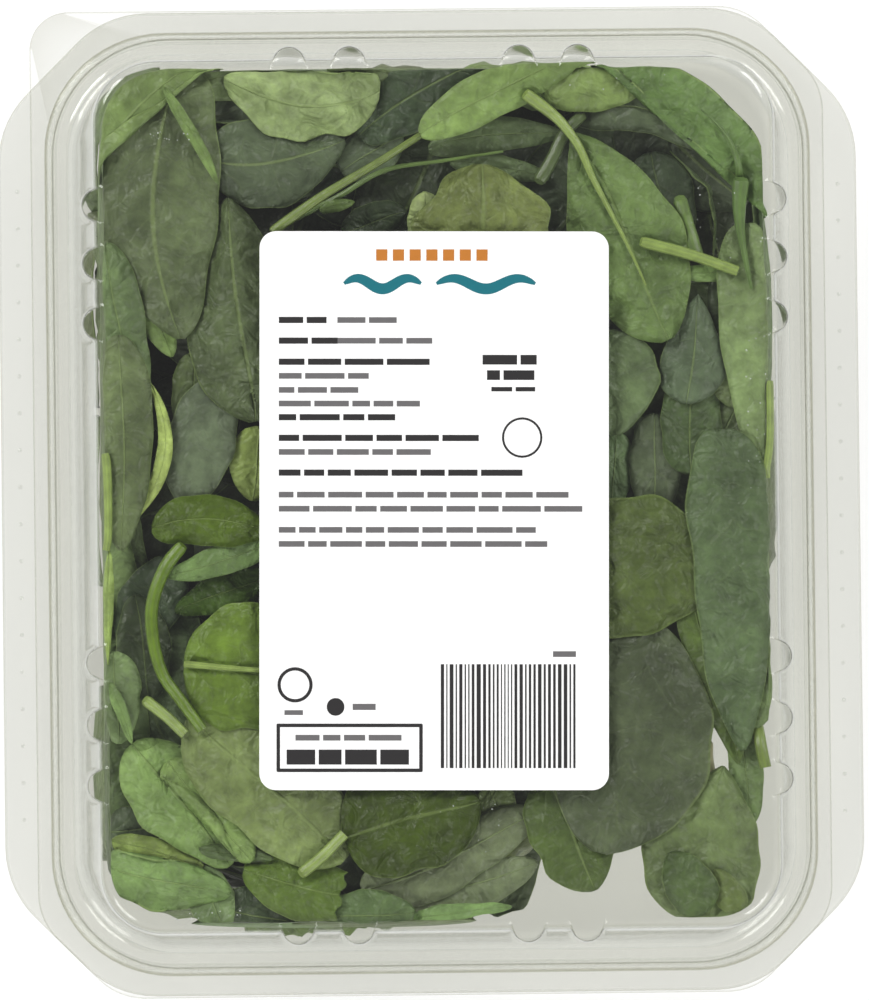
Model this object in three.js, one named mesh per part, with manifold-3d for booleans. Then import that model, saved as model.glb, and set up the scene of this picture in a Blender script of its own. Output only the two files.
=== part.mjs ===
import * as THREE from "three";
import { mergeVertices } from "three/addons/utils/BufferGeometryUtils.js";
import Module from "manifold-3d";

// Shut clear tub of baby spinach, lying on its lid with the labelled bottom panel up.
// Millimetres: X across the tub, Y along it, Z up from the lid's outer face.

const sheet = 0.7;            // thickness of the clear plastic
const clearance = 0.3;        // air left between pieces that touch
const cornerSteps = 4;        // points on each eighth of a turn round a corner

// Tub: half sizes and corner radius of each outline, and the heights between them
const panel = { x: 77.3, y: 99.15, radius: 14 };
const ledge = { x: 83.75, y: 104.35, radius: 24 };
const shoulder = { x: 87.75, y: 108.35, radius: 27.5 };
const rim = { x: 88.75, y: 109.35, radius: 27.5 };
const panelTop = 75;
const ledgeTop = 16.6;
const shoulderTop = 15;
const flangeTop = 11;
const panelEdgeRound = 2.6;

// Flanges: the tub's is the wider one, the lid's the longer one, cut along one line at the corners
const tubFlange = { x: 100, y: 114.5, cut: 25.4, round: 23 };
const lidFlange = { x: 92.5, y: 115, cut: 18.4, round: 15 };
const tabRadius = 9;          // the lid's full corner, which is the tab that lifts it

// Half-round lugs down the tub's walls, level with the panel
const lug = { radius: 4, sunk: 0.8 };
const sideLugs = [-65.5, -51.7, -37.6, 39.5, 53.2, 66.5];
const endLugs = [-32.7, -19, 19.6, 33];
const lugTurns = [-78.5, -38, 0, 38, 78.5];
const lugFoot = 45;           // height at which the sloping wall has swallowed them

// Lid: a plug bead that fills the tub's mouth, round a shallow dish. Each pair is a distance inside
// the tub's rim and a height.
const lidFlangeTop = flangeTop - sheet - clearance;
const beadTop = lidFlangeTop + 2.8;
const lidOuterSteps = [
  [9.4, 0], [7.4, 0.7], [6.4, 2.4], [4.4, beadTop - sheet], [2.5, beadTop - sheet],
  [2.2, lidFlangeTop - sheet],
];
const lidInnerSteps = [
  [1.5, lidFlangeTop], [1.8, beadTop], [5.1, beadTop], [7.1, 2.8], [7.9, 1.3], [9.6, sheet],
];

const label = { x: 79.4, y: 127, radius: 3.8, thick: 0.2, atX: -0.8, atY: -3.8, turn: -0.65 };

// Leaves: blades that stand out of a core, with a little air between them and the plastic
const leafGap = 0.4;
const leafTop = panelTop - sheet - leafGap;
const layerStep = 0.8;        // how much deeper each layer of leaves lies
const blade = { thick: 0.9, rows: 5, halves: [-1, -0.35, 0.35, 1], wave: 0.35 };
const stalk = { half: 1.25, overlap: 5, dip: 0.4 };
const core = { top: 71, foot: 5, rings: 7, points: 30, spread: 0.06, uneven: 0.012, lump: 0.5 };
const wallBand = { low: 22, middle: 34, upper: 46, high: 60 };
const wallLeafDepth = 2.2;
const lidLeafHeight = 3.2;

const wasm = await Module();
wasm.setup();

let seed = 7;
function random(low, high) {
  seed = (seed * 16807) % 2147483647;
  return low + (high - low) * (seed / 2147483647);
}

// A closed skin over rings of equal length, with a fan over the first and the last
function skin(rings) {
  const count = rings[0].length;
  const positions = rings.flat(2);
  const last = rings.length - 1;
  for (const ring of [rings[0], rings[last]]) {
    const middle = [0, 1, 2].map((axis) => ring.reduce((sum, point) => sum + point[axis], 0) / count);
    positions.push(...middle);
  }
  const firstMiddle = rings.length * count;
  const faces = [];
  for (let i = 0; i < count; i++) {
    const next = (i + 1) % count;
    faces.push(firstMiddle, i, next);
    faces.push(firstMiddle + 1, last * count + next, last * count + i);
    for (let ring = 0; ring < last; ring++) {
      const a = ring * count;
      const b = a + count;
      faces.push(a + i, b + i, b + next);
      faces.push(a + i, b + next, a + next);
    }
  }
  return closedGeometry(positions, faces);
}

// Faces are turned round together where they would enclose a negative volume
function closedGeometry(positions, faces) {
  let volume = 0;
  const [a, b, c] = [new THREE.Vector3(), new THREE.Vector3(), new THREE.Vector3()];
  for (let i = 0; i < faces.length; i += 3) {
    a.fromArray(positions, faces[i] * 3);
    b.fromArray(positions, faces[i + 1] * 3);
    c.fromArray(positions, faces[i + 2] * 3);
    volume += a.dot(b.cross(c));
  }
  const order = volume < 0 ? [...faces].reverse() : faces;
  const geometry = new THREE.BufferGeometry();
  geometry.setAttribute("position", new THREE.Float32BufferAttribute(positions, 3));
  geometry.setIndex(order);
  return geometry;
}

function toSolid(geometry) {
  const merged = mergeVertices(geometry, 1e-5);
  const vertProperties = new Float32Array(merged.attributes.position.array);
  const triVerts = new Uint32Array(merged.index.array);
  return new wasm.Manifold(new wasm.Mesh({ numProp: 3, vertProperties, triVerts }));
}

function toGeometry(solid) {
  const mesh = solid.getMesh();
  const geometry = new THREE.BufferGeometry();
  geometry.setAttribute("position", new THREE.Float32BufferAttribute(mesh.vertProperties, 3));
  geometry.setIndex(Array.from(mesh.triVerts));
  return geometry;
}

// The four corners in order: the sign of X and Y, and the turn at which the corner starts
const corners = [[1, 1, 0], [-1, 1, 90], [-1, -1, 180], [1, -1, 270]];

function arc(centreX, centreY, radius, fromTurn, toTurn, steps) {
  const points = [];
  for (let i = 0; i < steps; i++) {
    const turn = THREE.MathUtils.degToRad(fromTurn + (toTurn - fromTurn) * (i / (steps - 1)));
    points.push([centreX + radius * Math.cos(turn), centreY + radius * Math.sin(turn)]);
  }
  return points;
}

function roundCorner(size, index) {
  const [signX, signY, turn] = corners[index];
  const centreX = signX * (size.x - size.radius);
  const centreY = signY * (size.y - size.radius);
  return arc(centreX, centreY, size.radius, turn, turn + 90, 2 * cornerSteps);
}

// A corner cut off at 45 degrees, with both ends of the cut rounded
function cutCorner(size, index) {
  const [signX, signY, turn] = corners[index];
  const reach = size.round * Math.tan(Math.PI / 8);
  const long = size.cut + reach;
  const first = index % 2 === 0;
  const besideX = [signX * (size.x - size.round), signY * (size.y - long)];
  const besideY = [signX * (size.x - long), signY * (size.y - size.round)];
  const [start, end] = first ? [besideX, besideY] : [besideY, besideX];
  return [
    ...arc(start[0], start[1], size.round, turn, turn + 45, cornerSteps),
    ...arc(end[0], end[1], size.round, turn + 45, turn + 90, cornerSteps),
  ];
}

// Where the lugs stand on one side, from its start: distance along the side and turn on the lug
function lugStations(index) {
  const places = index % 2 === 0 ? sideLugs : endLugs;
  const ordered = index === 0 || index === 3 ? places : [...places].reverse();
  const turns = index === 0 || index === 3 ? lugTurns : [...lugTurns].reverse();
  return ordered.flatMap((place) => turns.map((turn) => [place, THREE.MathUtils.degToRad(turn)]));
}

// One outline of the tub: side, corner, side, corner. rounding draws it in at the panel's edge,
// and thin is how far the face lies inside the outer one.
function tubRing(size, z, rounding, thin) {
  const ring = [];
  for (let index = 0; index < 4; index++) {
    const half = index % 2 === 0 ? size.x : size.y;
    const panelHalf = index % 2 === 0 ? panel.x : panel.y;
    const side = index < 2 ? 1 : -1;
    const radius = lug.radius - thin;
    for (const [place, turn] of lugStations(index)) {
      const along = place + radius * Math.sin(turn);
      const lugReach = panelHalf + radius * Math.cos(turn) - lug.sunk;
      const out = side * (Math.max(half - thin, lugReach) - rounding);
      ring.push(index % 2 === 0 ? [out, along, z] : [along, out, z]);
    }
    const inset = rounding + thin;
    const inner = { x: size.x - inset, y: size.y - inset, radius: size.radius - inset };
    ring.push(...roundCorner(inner, index).map(([x, y]) => [x, y, z]));
  }
  return ring;
}

// The flange's edge, with one point for each point of a tub outline
function tubFlangeRing(z) {
  const ring = [];
  for (let index = 0; index < 4; index++) {
    const side = index < 2 ? 1 : -1;
    for (const [place, turn] of lugStations(index)) {
      const along = place + lug.radius * Math.sin(turn);
      const point = index % 2 === 0 ? [side * tubFlange.x, along] : [along, side * tubFlange.y];
      ring.push([...point, z]);
    }
    ring.push(...cutCorner(tubFlange, index).map(([x, y]) => [x, y, z]));
  }
  return ring;
}

// The wall between ledge and panel slopes evenly
function wallAt(z) {
  const share = (panelTop - z) / (panelTop - ledgeTop);
  const mix = (key) => THREE.MathUtils.lerp(panel[key], ledge[key], share);
  return { x: mix("x"), y: mix("y"), radius: mix("radius") };
}

function tubGeometry() {
  const roundMiddle = panelEdgeRound * 0.3;
  const roundFoot = panelTop - panelEdgeRound;
  const outer = [
    tubRing(wallAt(panelTop), panelTop, panelEdgeRound, 0),
    tubRing(wallAt(panelTop), panelTop - roundMiddle, roundMiddle, 0),
    tubRing(wallAt(roundFoot), roundFoot, 0, 0),
    tubRing(wallAt(lugFoot), lugFoot, 0, 0),
    tubRing(ledge, ledgeTop, 0, 0),
    tubRing(shoulder, shoulderTop, 0, 0),
    tubRing(rim, flangeTop, 0, 0),
    tubFlangeRing(flangeTop),
  ];
  const inner = [
    tubFlangeRing(flangeTop - sheet),
    tubRing(rim, flangeTop - sheet, 0, sheet),
    tubRing(shoulder, shoulderTop - sheet, 0, sheet),
    tubRing(ledge, ledgeTop - sheet, 0, sheet),
    tubRing(wallAt(lugFoot), lugFoot, 0, sheet),
    tubRing(wallAt(roundFoot), roundFoot, 0, sheet),
    tubRing(wallAt(panelTop), panelTop - sheet - roundMiddle, roundMiddle, sheet),
    tubRing(wallAt(panelTop), panelTop - sheet, panelEdgeRound, sheet),
  ];
  return skin([...outer, ...inner]);
}

// An outline of the lid, a given distance inside the tub's rim
function lidRing(inset, z) {
  const size = { x: rim.x - inset, y: rim.y - inset, radius: rim.radius - inset };
  return corners.flatMap((corner, index) => roundCorner(size, index)).map(([x, y]) => [x, y, z]);
}

// The lid's edge: three cut corners and, at the upper left, the full one
function lidFlangeRing(z) {
  const full = { x: lidFlange.x, y: lidFlange.y, radius: tabRadius };
  const outline = corners.flatMap((corner, index) => {
    const isTab = index === 1;
    return isTab ? roundCorner(full, index) : cutCorner(lidFlange, index);
  });
  return outline.map(([x, y]) => [x, y, z]);
}

function lidGeometry() {
  const outer = lidOuterSteps.map(([inset, z]) => lidRing(inset, z));
  const inner = lidInnerSteps.map(([inset, z]) => lidRing(inset, z));
  return skin([...outer, lidFlangeRing(lidFlangeTop - sheet), lidFlangeRing(lidFlangeTop), ...inner]);
}

function labelGeometry() {
  const outline = { x: label.x / 2, y: label.y / 2, radius: label.radius };
  const points = corners.flatMap((corner, index) => roundCorner(outline, index));
  const shape = new THREE.Shape(points.map(([x, y]) => new THREE.Vector2(x, y)));
  return new THREE.ExtrudeGeometry(shape, { depth: label.thick, bevelEnabled: false });
}

// Plan of the heap's core, clear of the corners that the leaves leave empty
const heapPlan = [
  [72, 10], [72, 64], [64, 80], [50, 91], [10, 94], [-30, 94], [-62, 91], [-72, 74],
  [-72.5, 10], [-72.5, -60], [-66, -84], [-45, -93], [-10, -93], [21, -86], [42, -67], [58, -50], [72, -34],
];

// The core spreads towards its foot as the walls do, and rounds off a little at top and foot
function coreGeometry() {
  const turns = heapPlan.map(([x, y]) => new THREE.Vector3(x, y, 0));
  const plan = new THREE.CatmullRomCurve3(turns, true).getSpacedPoints(core.points).slice(0, -1);
  const level = (size, z, lump) => plan.map((point) => {
    const reach = size * (1 + random(-core.uneven, core.uneven));
    return [point.x * reach, point.y * reach, z + random(-lump, lump)];
  });
  const rings = [level(0.4, core.top - 1, 0.9), level(0.75, core.top - 0.8, 0.9)];
  for (let step = 0; step < core.rings; step++) {
    const share = step / (core.rings - 1);
    const bulge = Math.sin(Math.PI * share) ** 0.22;
    const size = (0.94 + 0.06 * bulge) * (1 + core.spread * share);
    rings.push(level(size, THREE.MathUtils.lerp(core.top, core.foot, share), core.lump));
  }
  return skin(rings);
}

// The inside of the shut tub, a little smaller, which nothing in the heap reaches beyond
function cavityGeometry() {
  const gap = sheet + leafGap;
  const clear = 0.6;
  const dishSide = 8.2;
  const dishFloor = 11;
  const level = (size, inset, z) => {
    const inner = { x: size.x - inset, y: size.y - inset, radius: size.radius - inset };
    return corners.flatMap((corner, index) => roundCorner(inner, index)).map(([x, y]) => [x, y, z]);
  };
  const roundFoot = panelTop - panelEdgeRound;
  return skin([
    level(panel, panelEdgeRound + gap, leafTop),
    level(wallAt(roundFoot), gap, roundFoot - clear),
    level(ledge, gap, ledgeTop - clear),
    level(ledge, gap, beadTop + clear),
    level(rim, dishSide, lidLeafHeight),
    level(rim, dishFloor, gap),
  ]);
}

// A point of a leaf blade in its own frame: length along X, width along Y, face up Z. u runs from
// stalk to tip, and v from edge to edge. The blade is broadest a little nearer the stalk.
function bladeSurface(leaf, u, v, lift) {
  const halfWidth = (leaf.width / 2) * Math.sin(Math.PI * u ** 0.8) ** 0.55;
  const along = leaf.length * (u - 0.5);
  const side = leaf.bow * (1 - (2 * u - 1) ** 2) + v * halfWidth;
  const cup = -leaf.cup * v * v * Math.sin(Math.PI * u) ** 0.5;
  const droop = -leaf.droop * (2 * u - 1) ** 4;
  const wave = blade.wave * Math.sin(7 * u + 3 * v + leaf.phase);
  return [along, side, cup + droop + wave + lift];
}

// The blade as a thin wavy solid, its upper and under face split alike
function bladeGeometry(leaf) {
  const positions = [];
  const columns = blade.halves.length;
  for (const lift of [blade.thick / 2, -blade.thick / 2]) {
    positions.push(...bladeSurface(leaf, 0, 0, lift));
    for (let row = 1; row < blade.rows; row++) {
      for (const v of blade.halves) {
        positions.push(...bladeSurface(leaf, row / blade.rows, v, lift));
      }
    }
    positions.push(...bladeSurface(leaf, 1, 0, lift));
  }
  const perFace = positions.length / 6;
  const at = (row, column) => {
    if (row === 0) return 0;
    return row === blade.rows ? perFace - 1 : 1 + (row - 1) * columns + column;
  };
  const faces = [];
  const face = (a, b, c) => {
    if (a === b || b === c || a === c) return;
    faces.push(a, b, c, perFace + a, perFace + c, perFace + b);
  };
  const wall = (a, b) => {
    faces.push(a, perFace + a, perFace + b);
    faces.push(a, perFace + b, b);
  };
  for (let row = 0; row < blade.rows; row++) {
    for (let column = 0; column < columns - 1; column++) {
      face(at(row, column), at(row + 1, column), at(row + 1, column + 1));
      face(at(row, column), at(row + 1, column + 1), at(row, column + 1));
    }
    wall(at(row, 0), at(row + 1, 0));
    wall(at(row + 1, columns - 1), at(row, columns - 1));
  }
  return closedGeometry(positions, faces);
}

// Four-sided stalk along a leaf's own length, bent down a little towards its cut end
function stalkGeometry(leaf) {
  const { half, overlap } = stalk;
  const rings = [0, 0.5, 1].map((share) => {
    const along = overlap - leaf.length / 2 - (leaf.stalk + overlap) * share;
    const z = -leaf.droop * 0.6 - stalk.dip * share;
    return [[along, -half, z], [along, 0, z + half], [along, half, z], [along, 0, z - half]];
  });
  return skin(rings);
}

// Turns a leaf to face along its normal with its length along its heading
function placeLeaf(leaf) {
  const outward = new THREE.Vector3(...leaf.normal).normalize();
  const heading = new THREE.Vector3(...leaf.heading);
  const lengthwise = heading.addScaledVector(outward, -heading.dot(outward)).normalize();
  const across = new THREE.Vector3().crossVectors(outward, lengthwise);
  const place = new THREE.Matrix4().makeBasis(lengthwise, across, outward).setPosition(...leaf.at);
  const pieces = [toSolid(bladeGeometry(leaf).applyMatrix4(place))];
  if (leaf.stalk > 0) pieces.push(toSolid(stalkGeometry(leaf).applyMatrix4(place)));
  return pieces;
}

// The large leaves that lie against the panel: where each blade starts and ends, its width,
// its layer (0 touches the panel) and the length of stalk that shows
const panelLeaves = [
  { from: [-57, 94], to: [-57, 38], width: 27, layer: 0, stalk: 0 },
  { from: [-46, 93], to: [-14, 92], width: 20, layer: 0, stalk: 0 },
  { from: [-48, 74], to: [-21, 82], width: 20, layer: 2, stalk: 0 },
  { from: [-16, 84], to: [8, 97], width: 17, layer: 2, stalk: 0 },
  { from: [-1, 83], to: [32, 98], width: 13, layer: 0, stalk: 38 },
  { from: [4, 62], to: [21, 66], width: 34, layer: 1, stalk: 0 },
  { from: [-42, 62], to: [-42, 20], width: 30, layer: 1, stalk: 0 },
  { from: [-71, 34], to: [-72, -12], width: 14, layer: 0, stalk: 0 },
  { from: [-50, 24], to: [-57, -2], width: 19, layer: 1, stalk: 0 },
  { from: [-64, -9], to: [-40, -10], width: 11, layer: 0, stalk: 0 },
  { from: [-58, -38], to: [-28, -40], width: 28, layer: 0, stalk: 0 },
  { from: [-54, -54], to: [-24, -80], width: 25, layer: 0, stalk: 22 },
  { from: [-70, -58], to: [-48, -80], width: 20, layer: 1, stalk: 0 },
  { from: [-75, -88], to: [-49, -91], width: 14, layer: 1, stalk: 0 },
  { from: [-46, -84], to: [-22, -93], width: 13, layer: 2, stalk: 0 },
  { from: [-21, -77], to: [8, -70], width: 28, layer: 0, stalk: 12 },
  { from: [-16, -91], to: [24, -80], width: 17, layer: 2, stalk: 0 },
  { from: [24, -70], to: [38, -91], width: 19, layer: 1, stalk: 0 },
  { from: [49, -36], to: [37, -81], width: 31, layer: 0, stalk: 0 },
  { from: [60, -64], to: [56, -98], width: 27, layer: 2, stalk: 0 },
  { from: [66, 12], to: [67, -30], width: 17, layer: 0, stalk: 0 },
  { from: [73, -27], to: [73, -52], width: 12, layer: 0, stalk: 0 },
  { from: [41, 36], to: [45, 14], width: 16, layer: 1, stalk: 0 },
  { from: [62, -16], to: [27, -19], width: 31, layer: 0, stalk: 0 },
  { from: [72, 60], to: [74, 4], width: 12, layer: 1, stalk: 8 },
  { from: [47, 97], to: [75, 74], width: 13, layer: 1, stalk: 0 },
  { from: [32, 79], to: [52, 36], width: 22, layer: 0, stalk: 15 },
  { from: [59, 43], to: [58, 25], width: 12, layer: 1, stalk: 0 },
  { from: [-70, 90], to: [-72, 62], width: 12, layer: 2, stalk: 0 },
  { from: [-66, 60], to: [-64, 34], width: 16, layer: 1, stalk: 0 },
  { from: [-70, -20], to: [-68, -52], width: 17, layer: 2, stalk: 0 },
  { from: [38, 72], to: [62, 60], width: 19, layer: 2, stalk: 0 },
];

function panelLeafSolids() {
  return panelLeaves.flatMap((spot) => {
    const [startX, startY] = spot.from;
    const [endX, endY] = spot.to;
    const length = Math.hypot(endX - startX, endY - startY);
    const z = leafTop - blade.thick / 2 - clearance - layerStep * spot.layer;
    return placeLeaf({
      at: [(startX + endX) / 2, (startY + endY) / 2, z],
      heading: [endX - startX, endY - startY, 0],
      normal: [0, 0, 1],
      length,
      width: spot.width,
      stalk: spot.stalk,
      bow: random(-1.5, 1.5),
      cup: 2 - 0.5 * spot.layer,
      droop: 2.8 - 0.7 * spot.layer,
      phase: random(0, 6),
    });
  });
}

// Leaves that stand against the four walls: their number on a side, and how each lies
const wallSides = [
  { out: [1, 0], run: [0, 1], span: [-34, 66], count: 4 },
  { out: [-1, 0], run: [0, -1], span: [-76, 78], count: 6 },
  { out: [0, 1], run: [-1, 0], span: [-58, 44], count: 4 },
  { out: [0, -1], run: [1, 0], span: [-60, 14], count: 3 },
];

function wallLeafSolids() {
  const spots = wallSides.flatMap((side) => [...Array(side.count).keys()].map((index) => [side, index]));
  return spots.flatMap(([side, index]) => {
    const share = (index + 0.5) / side.count;
    const along = THREE.MathUtils.lerp(side.span[0], side.span[1], share) + random(-3, 3);
    const isLow = index % 2 === 0;
    const z = isLow ? random(wallBand.low, wallBand.middle) : random(wallBand.upper, wallBand.high);
    const wall = wallAt(z);
    const [outX, outY] = side.out;
    const [runX, runY] = side.run;
    const out = (outX === 0 ? wall.y : wall.x) - sheet - wallLeafDepth;
    return placeLeaf({
      at: [outX * out + runX * along, outY * out + runY * along, z],
      heading: [runX, runY, random(-1, 1)],
      normal: [outX, outY, 0.1],
      length: random(38, 46),
      width: random(25, 31),
      stalk: 0,
      bow: random(-2, 2),
      cup: 4,
      droop: 4,
      phase: random(0, 6),
    });
  });
}

// Leaves that lie against the lid, in rows, except in the corner that the heap leaves empty
const lidRows = [-60, 0, 60];
const lidColumns = [-42, 0, 42];
const emptyCorner = 80;

function lidLeafSolids() {
  const spots = lidRows.flatMap((y) => lidColumns.map((x) => {
    const turn = random(0, 2 * Math.PI);
    return [x + random(-5, 5), y + random(-5, 5), turn];
  }));
  return spots.filter(([x, y]) => x - y < emptyCorner).flatMap(([x, y, turn]) => placeLeaf({
    at: [x, y, lidLeafHeight],
    heading: [Math.cos(turn), Math.sin(turn), 0],
    normal: [0, 0, -1],
    length: random(40, 50),
    width: random(27, 33),
    stalk: 0,
    bow: random(-2, 2),
    cup: 3.6,
    droop: 3.6,
    phase: random(0, 6),
  }));
}

// One body: the core with every leaf joined to it, kept inside the tub, without loose scraps
function spinachGeometry() {
  const pieces = [toSolid(coreGeometry()), ...panelLeafSolids(), ...wallLeafSolids(), ...lidLeafSolids()];
  const heap = pieces.reduce((whole, piece) => whole.add(piece));
  const bodies = heap.intersect(toSolid(cavityGeometry())).decompose();
  const largest = bodies.reduce((best, body) => (body.volume() > best.volume() ? body : best));
  return toGeometry(largest);
}

const clearPlastic = () => new THREE.MeshStandardMaterial({
  color: 0xdfe3e0, roughness: 0.12, metalness: 0, transparent: true, opacity: 0.35,
});
const paper = new THREE.MeshStandardMaterial({ color: 0xfcfcfa, roughness: 0.55, metalness: 0 });
const leafGreen = new THREE.MeshStandardMaterial({ color: 0x5c7a45, roughness: 0.5, metalness: 0 });

function named(name, geometry, material) {
  const mesh = new THREE.Mesh(geometry, material);
  mesh.name = name;
  return mesh;
}

const labelMesh = named("label", labelGeometry(), paper);
labelMesh.position.set(label.atX, label.atY, panelTop + clearance);
labelMesh.rotation.z = THREE.MathUtils.degToRad(label.turn);

const spinachTub = new THREE.Group();
spinachTub.add(
  named("tray", tubGeometry(), clearPlastic()),
  named("lid", lidGeometry(), clearPlastic()),
  labelMesh,
  named("spinach", spinachGeometry(), leafGreen),
);

export default spinachTub;
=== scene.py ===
import bpy
import bmesh
import math
import random
import numpy as np
from mathutils import Matrix, Vector


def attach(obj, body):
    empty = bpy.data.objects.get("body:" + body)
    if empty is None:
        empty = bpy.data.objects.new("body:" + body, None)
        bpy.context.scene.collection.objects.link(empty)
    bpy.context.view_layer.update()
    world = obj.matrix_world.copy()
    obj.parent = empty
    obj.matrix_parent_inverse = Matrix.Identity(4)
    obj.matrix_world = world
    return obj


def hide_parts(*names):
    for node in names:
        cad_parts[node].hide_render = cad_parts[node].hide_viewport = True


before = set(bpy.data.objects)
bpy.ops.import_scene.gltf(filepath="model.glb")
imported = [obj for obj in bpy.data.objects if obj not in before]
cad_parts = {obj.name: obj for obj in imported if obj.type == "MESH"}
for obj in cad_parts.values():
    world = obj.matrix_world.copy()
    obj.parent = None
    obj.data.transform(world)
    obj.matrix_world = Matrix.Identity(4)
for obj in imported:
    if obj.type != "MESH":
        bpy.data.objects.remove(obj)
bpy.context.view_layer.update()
print("frame loaded")

# Lengths in the dictionaries are millimetres in the part's frame, and meshes are made in metres.
millimetre = 0.001

# Outlines of the tub: half sizes and corner radius at each height that matters
tub = {
    "panel": (77.3, 99.15, 14.0),
    "ledge": (83.75, 104.35, 24.0),
    "shoulder": (87.75, 108.35, 27.5),
    "rim": (88.75, 109.35, 27.5),
    "panelTop": 75.0,
    "ledgeTop": 16.6,
    "shoulderTop": 15.0,
    "flangeTop": 11.0,
    "edgeRound": 2.6,
    "sheet": 0.45,            # thickness of the clear plastic
    "flange": (100.0, 114.5, 25.4, 23.0),  # half sizes, corner cut, rounding of the cut
    "cornerSteps": 16,
    "wallShade": 0.23,        # painted shade: how much the sheet dims what lies behind it, at the wall and the flange
    "flangeShade": 0.15,
}

lugs = {
    "radius": 4.0,
    "sunk": 0.8,
    "sides": (-65.5, -51.7, -37.6, 39.5, 53.2, 66.5),
    "ends": (-32.7, -19.0, 19.6, 33.0),
    "foot": 45.0,             # height at which the sloping wall has swallowed them
    "edgeRound": 0.6,         # rounding of their tops, less than the panel's
    "blend": 0.7,             # softness of the hollow between lug and wall
    "steps": 17,
}

lid = {
    "flange": (92.5, 115.0, 18.4, 15.0),
    "tabRadius": 9.0,         # the full corner that lifts the lid
    "flangeTop": 10.0,
    "beadTop": 12.8,
    "sheet": 0.45,
    "dishShade": 0.28,        # painted shade: dimming at the dish and along the tab's edge
    "tabShade": 0.22,
}

label = {
    "size": (79.4, 127.0),
    "radius": 3.8,
    "centre": (-0.8, -3.8),
    "turn": -0.65,            # degrees
    "base": 75.03,
    "thick": 0.12,
    "paper": dict(dark=(0.86, 0.86, 0.85, 1.0), light=(0.93, 0.93, 0.925, 1.0), scale=700.0,
                  roughness=0.55, height=0.00002),
}


def srgb(red, green, blue):
    def linear(value):
        share = value / 255
        return share / 12.92 if share <= 0.04045 else ((share + 0.055) / 1.055) ** 2.4
    return (linear(red), linear(green), linear(blue), 1.0)


def makeObject(name, mesh):
    piece = bpy.data.objects.new(name, mesh)
    bpy.context.scene.collection.objects.link(piece)
    return piece


def meshFrom(name, points, faces, smooth=True):
    mesh = bpy.data.meshes.new(name)
    mesh.from_pydata((np.asarray(points, float) * millimetre).tolist(), [], faces)
    mesh.polygons.foreach_set("use_smooth", [smooth] * len(mesh.polygons))
    mesh.update()
    return mesh


def useMaterial(piece, material):
    piece.data.materials.clear()
    piece.data.materials.append(material)


def addPiece(name, mesh, material, slot, *nodes):
    piece = makeObject(name, mesh)
    useMaterial(piece, material)
    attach(piece, "root")
    if nodes:
        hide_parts(*nodes)


# Shader helpers

def newMaterial(name):
    material = bpy.data.materials.new(name)
    material.use_nodes = True
    material.node_tree.nodes.clear()
    return material, material.node_tree


def addNode(tree, kind, **settings):
    node = tree.nodes.new(kind)
    for key, value in settings.items():
        setattr(node, key, value)
    return node


def setInputs(node, **values):
    for key, value in values.items():
        node.inputs[key].default_value = value


def mathNode(tree, operation, first, second=None, third=None):
    node = addNode(tree, "ShaderNodeMath", operation=operation)
    for socket, value in zip(node.inputs, (first, second, third)):
        if value is None:
            continue
        if isinstance(value, (int, float)):
            socket.default_value = value
        else:
            tree.links.new(value, socket)
    return node.outputs[0]


def mixColour(tree, blend, factor, first, second):
    node = addNode(tree, "ShaderNodeMix", data_type="RGBA", blend_type=blend)
    for socket, value in ((node.inputs[0], factor), (node.inputs[6], first), (node.inputs[7], second)):
        if isinstance(value, (int, float, tuple)):
            socket.default_value = value
        else:
            tree.links.new(value, socket)
    return node.outputs[2]


def addNoise(tree, scale, detail, **values):
    place = addNode(tree, "ShaderNodeTexCoord")
    noise = addNode(tree, "ShaderNodeTexNoise")
    setInputs(noise, Scale=scale, Detail=detail, **values)
    tree.links.new(place.outputs["Object"], noise.inputs["Vector"])
    return noise.outputs["Fac"]


def mapRange(tree, value, fromLow, fromHigh, toLow, toHigh, kind="LINEAR"):
    node = addNode(tree, "ShaderNodeMapRange", interpolation_type=kind)
    for key, number in zip(("From Min", "From Max", "To Min", "To Max"), (fromLow, fromHigh, toLow, toHigh)):
        node.inputs[key].default_value = number
    tree.links.new(value, node.inputs["Value"])
    return node.outputs[0]


def mixShaders(tree, share, first, second):
    mix = addNode(tree, "ShaderNodeMixShader")
    for socket, value in zip(mix.inputs, (share, first.outputs[0], second.outputs[0])):
        tree.links.new(value, socket)
    return mix


def addBump(tree, shader, height, strength, distance):
    bump = addNode(tree, "ShaderNodeBump")
    setInputs(bump, Strength=strength, Distance=distance)
    tree.links.new(height, bump.inputs["Height"])
    tree.links.new(bump.outputs["Normal"], shader.inputs["Normal"])


def shadeColour(tree, colour, value):
    # the colour times one value
    grey = addNode(tree, "ShaderNodeCombineColor")
    for socket in grey.inputs:
        tree.links.new(value, socket)
    return mixColour(tree, "MULTIPLY", 1.0, colour, grey.outputs[0])


def newSkin(name, **values):
    material, tree = newMaterial(name)
    out = addNode(tree, "ShaderNodeOutputMaterial")
    skin = addNode(tree, "ShaderNodeBsdfPrincipled")
    setInputs(skin, **values)
    tree.links.new(skin.outputs[0], out.inputs["Surface"])
    return material, tree, skin


# Clear plastic: sight passes straight through, with a gloss that grows at grazing angles

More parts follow.
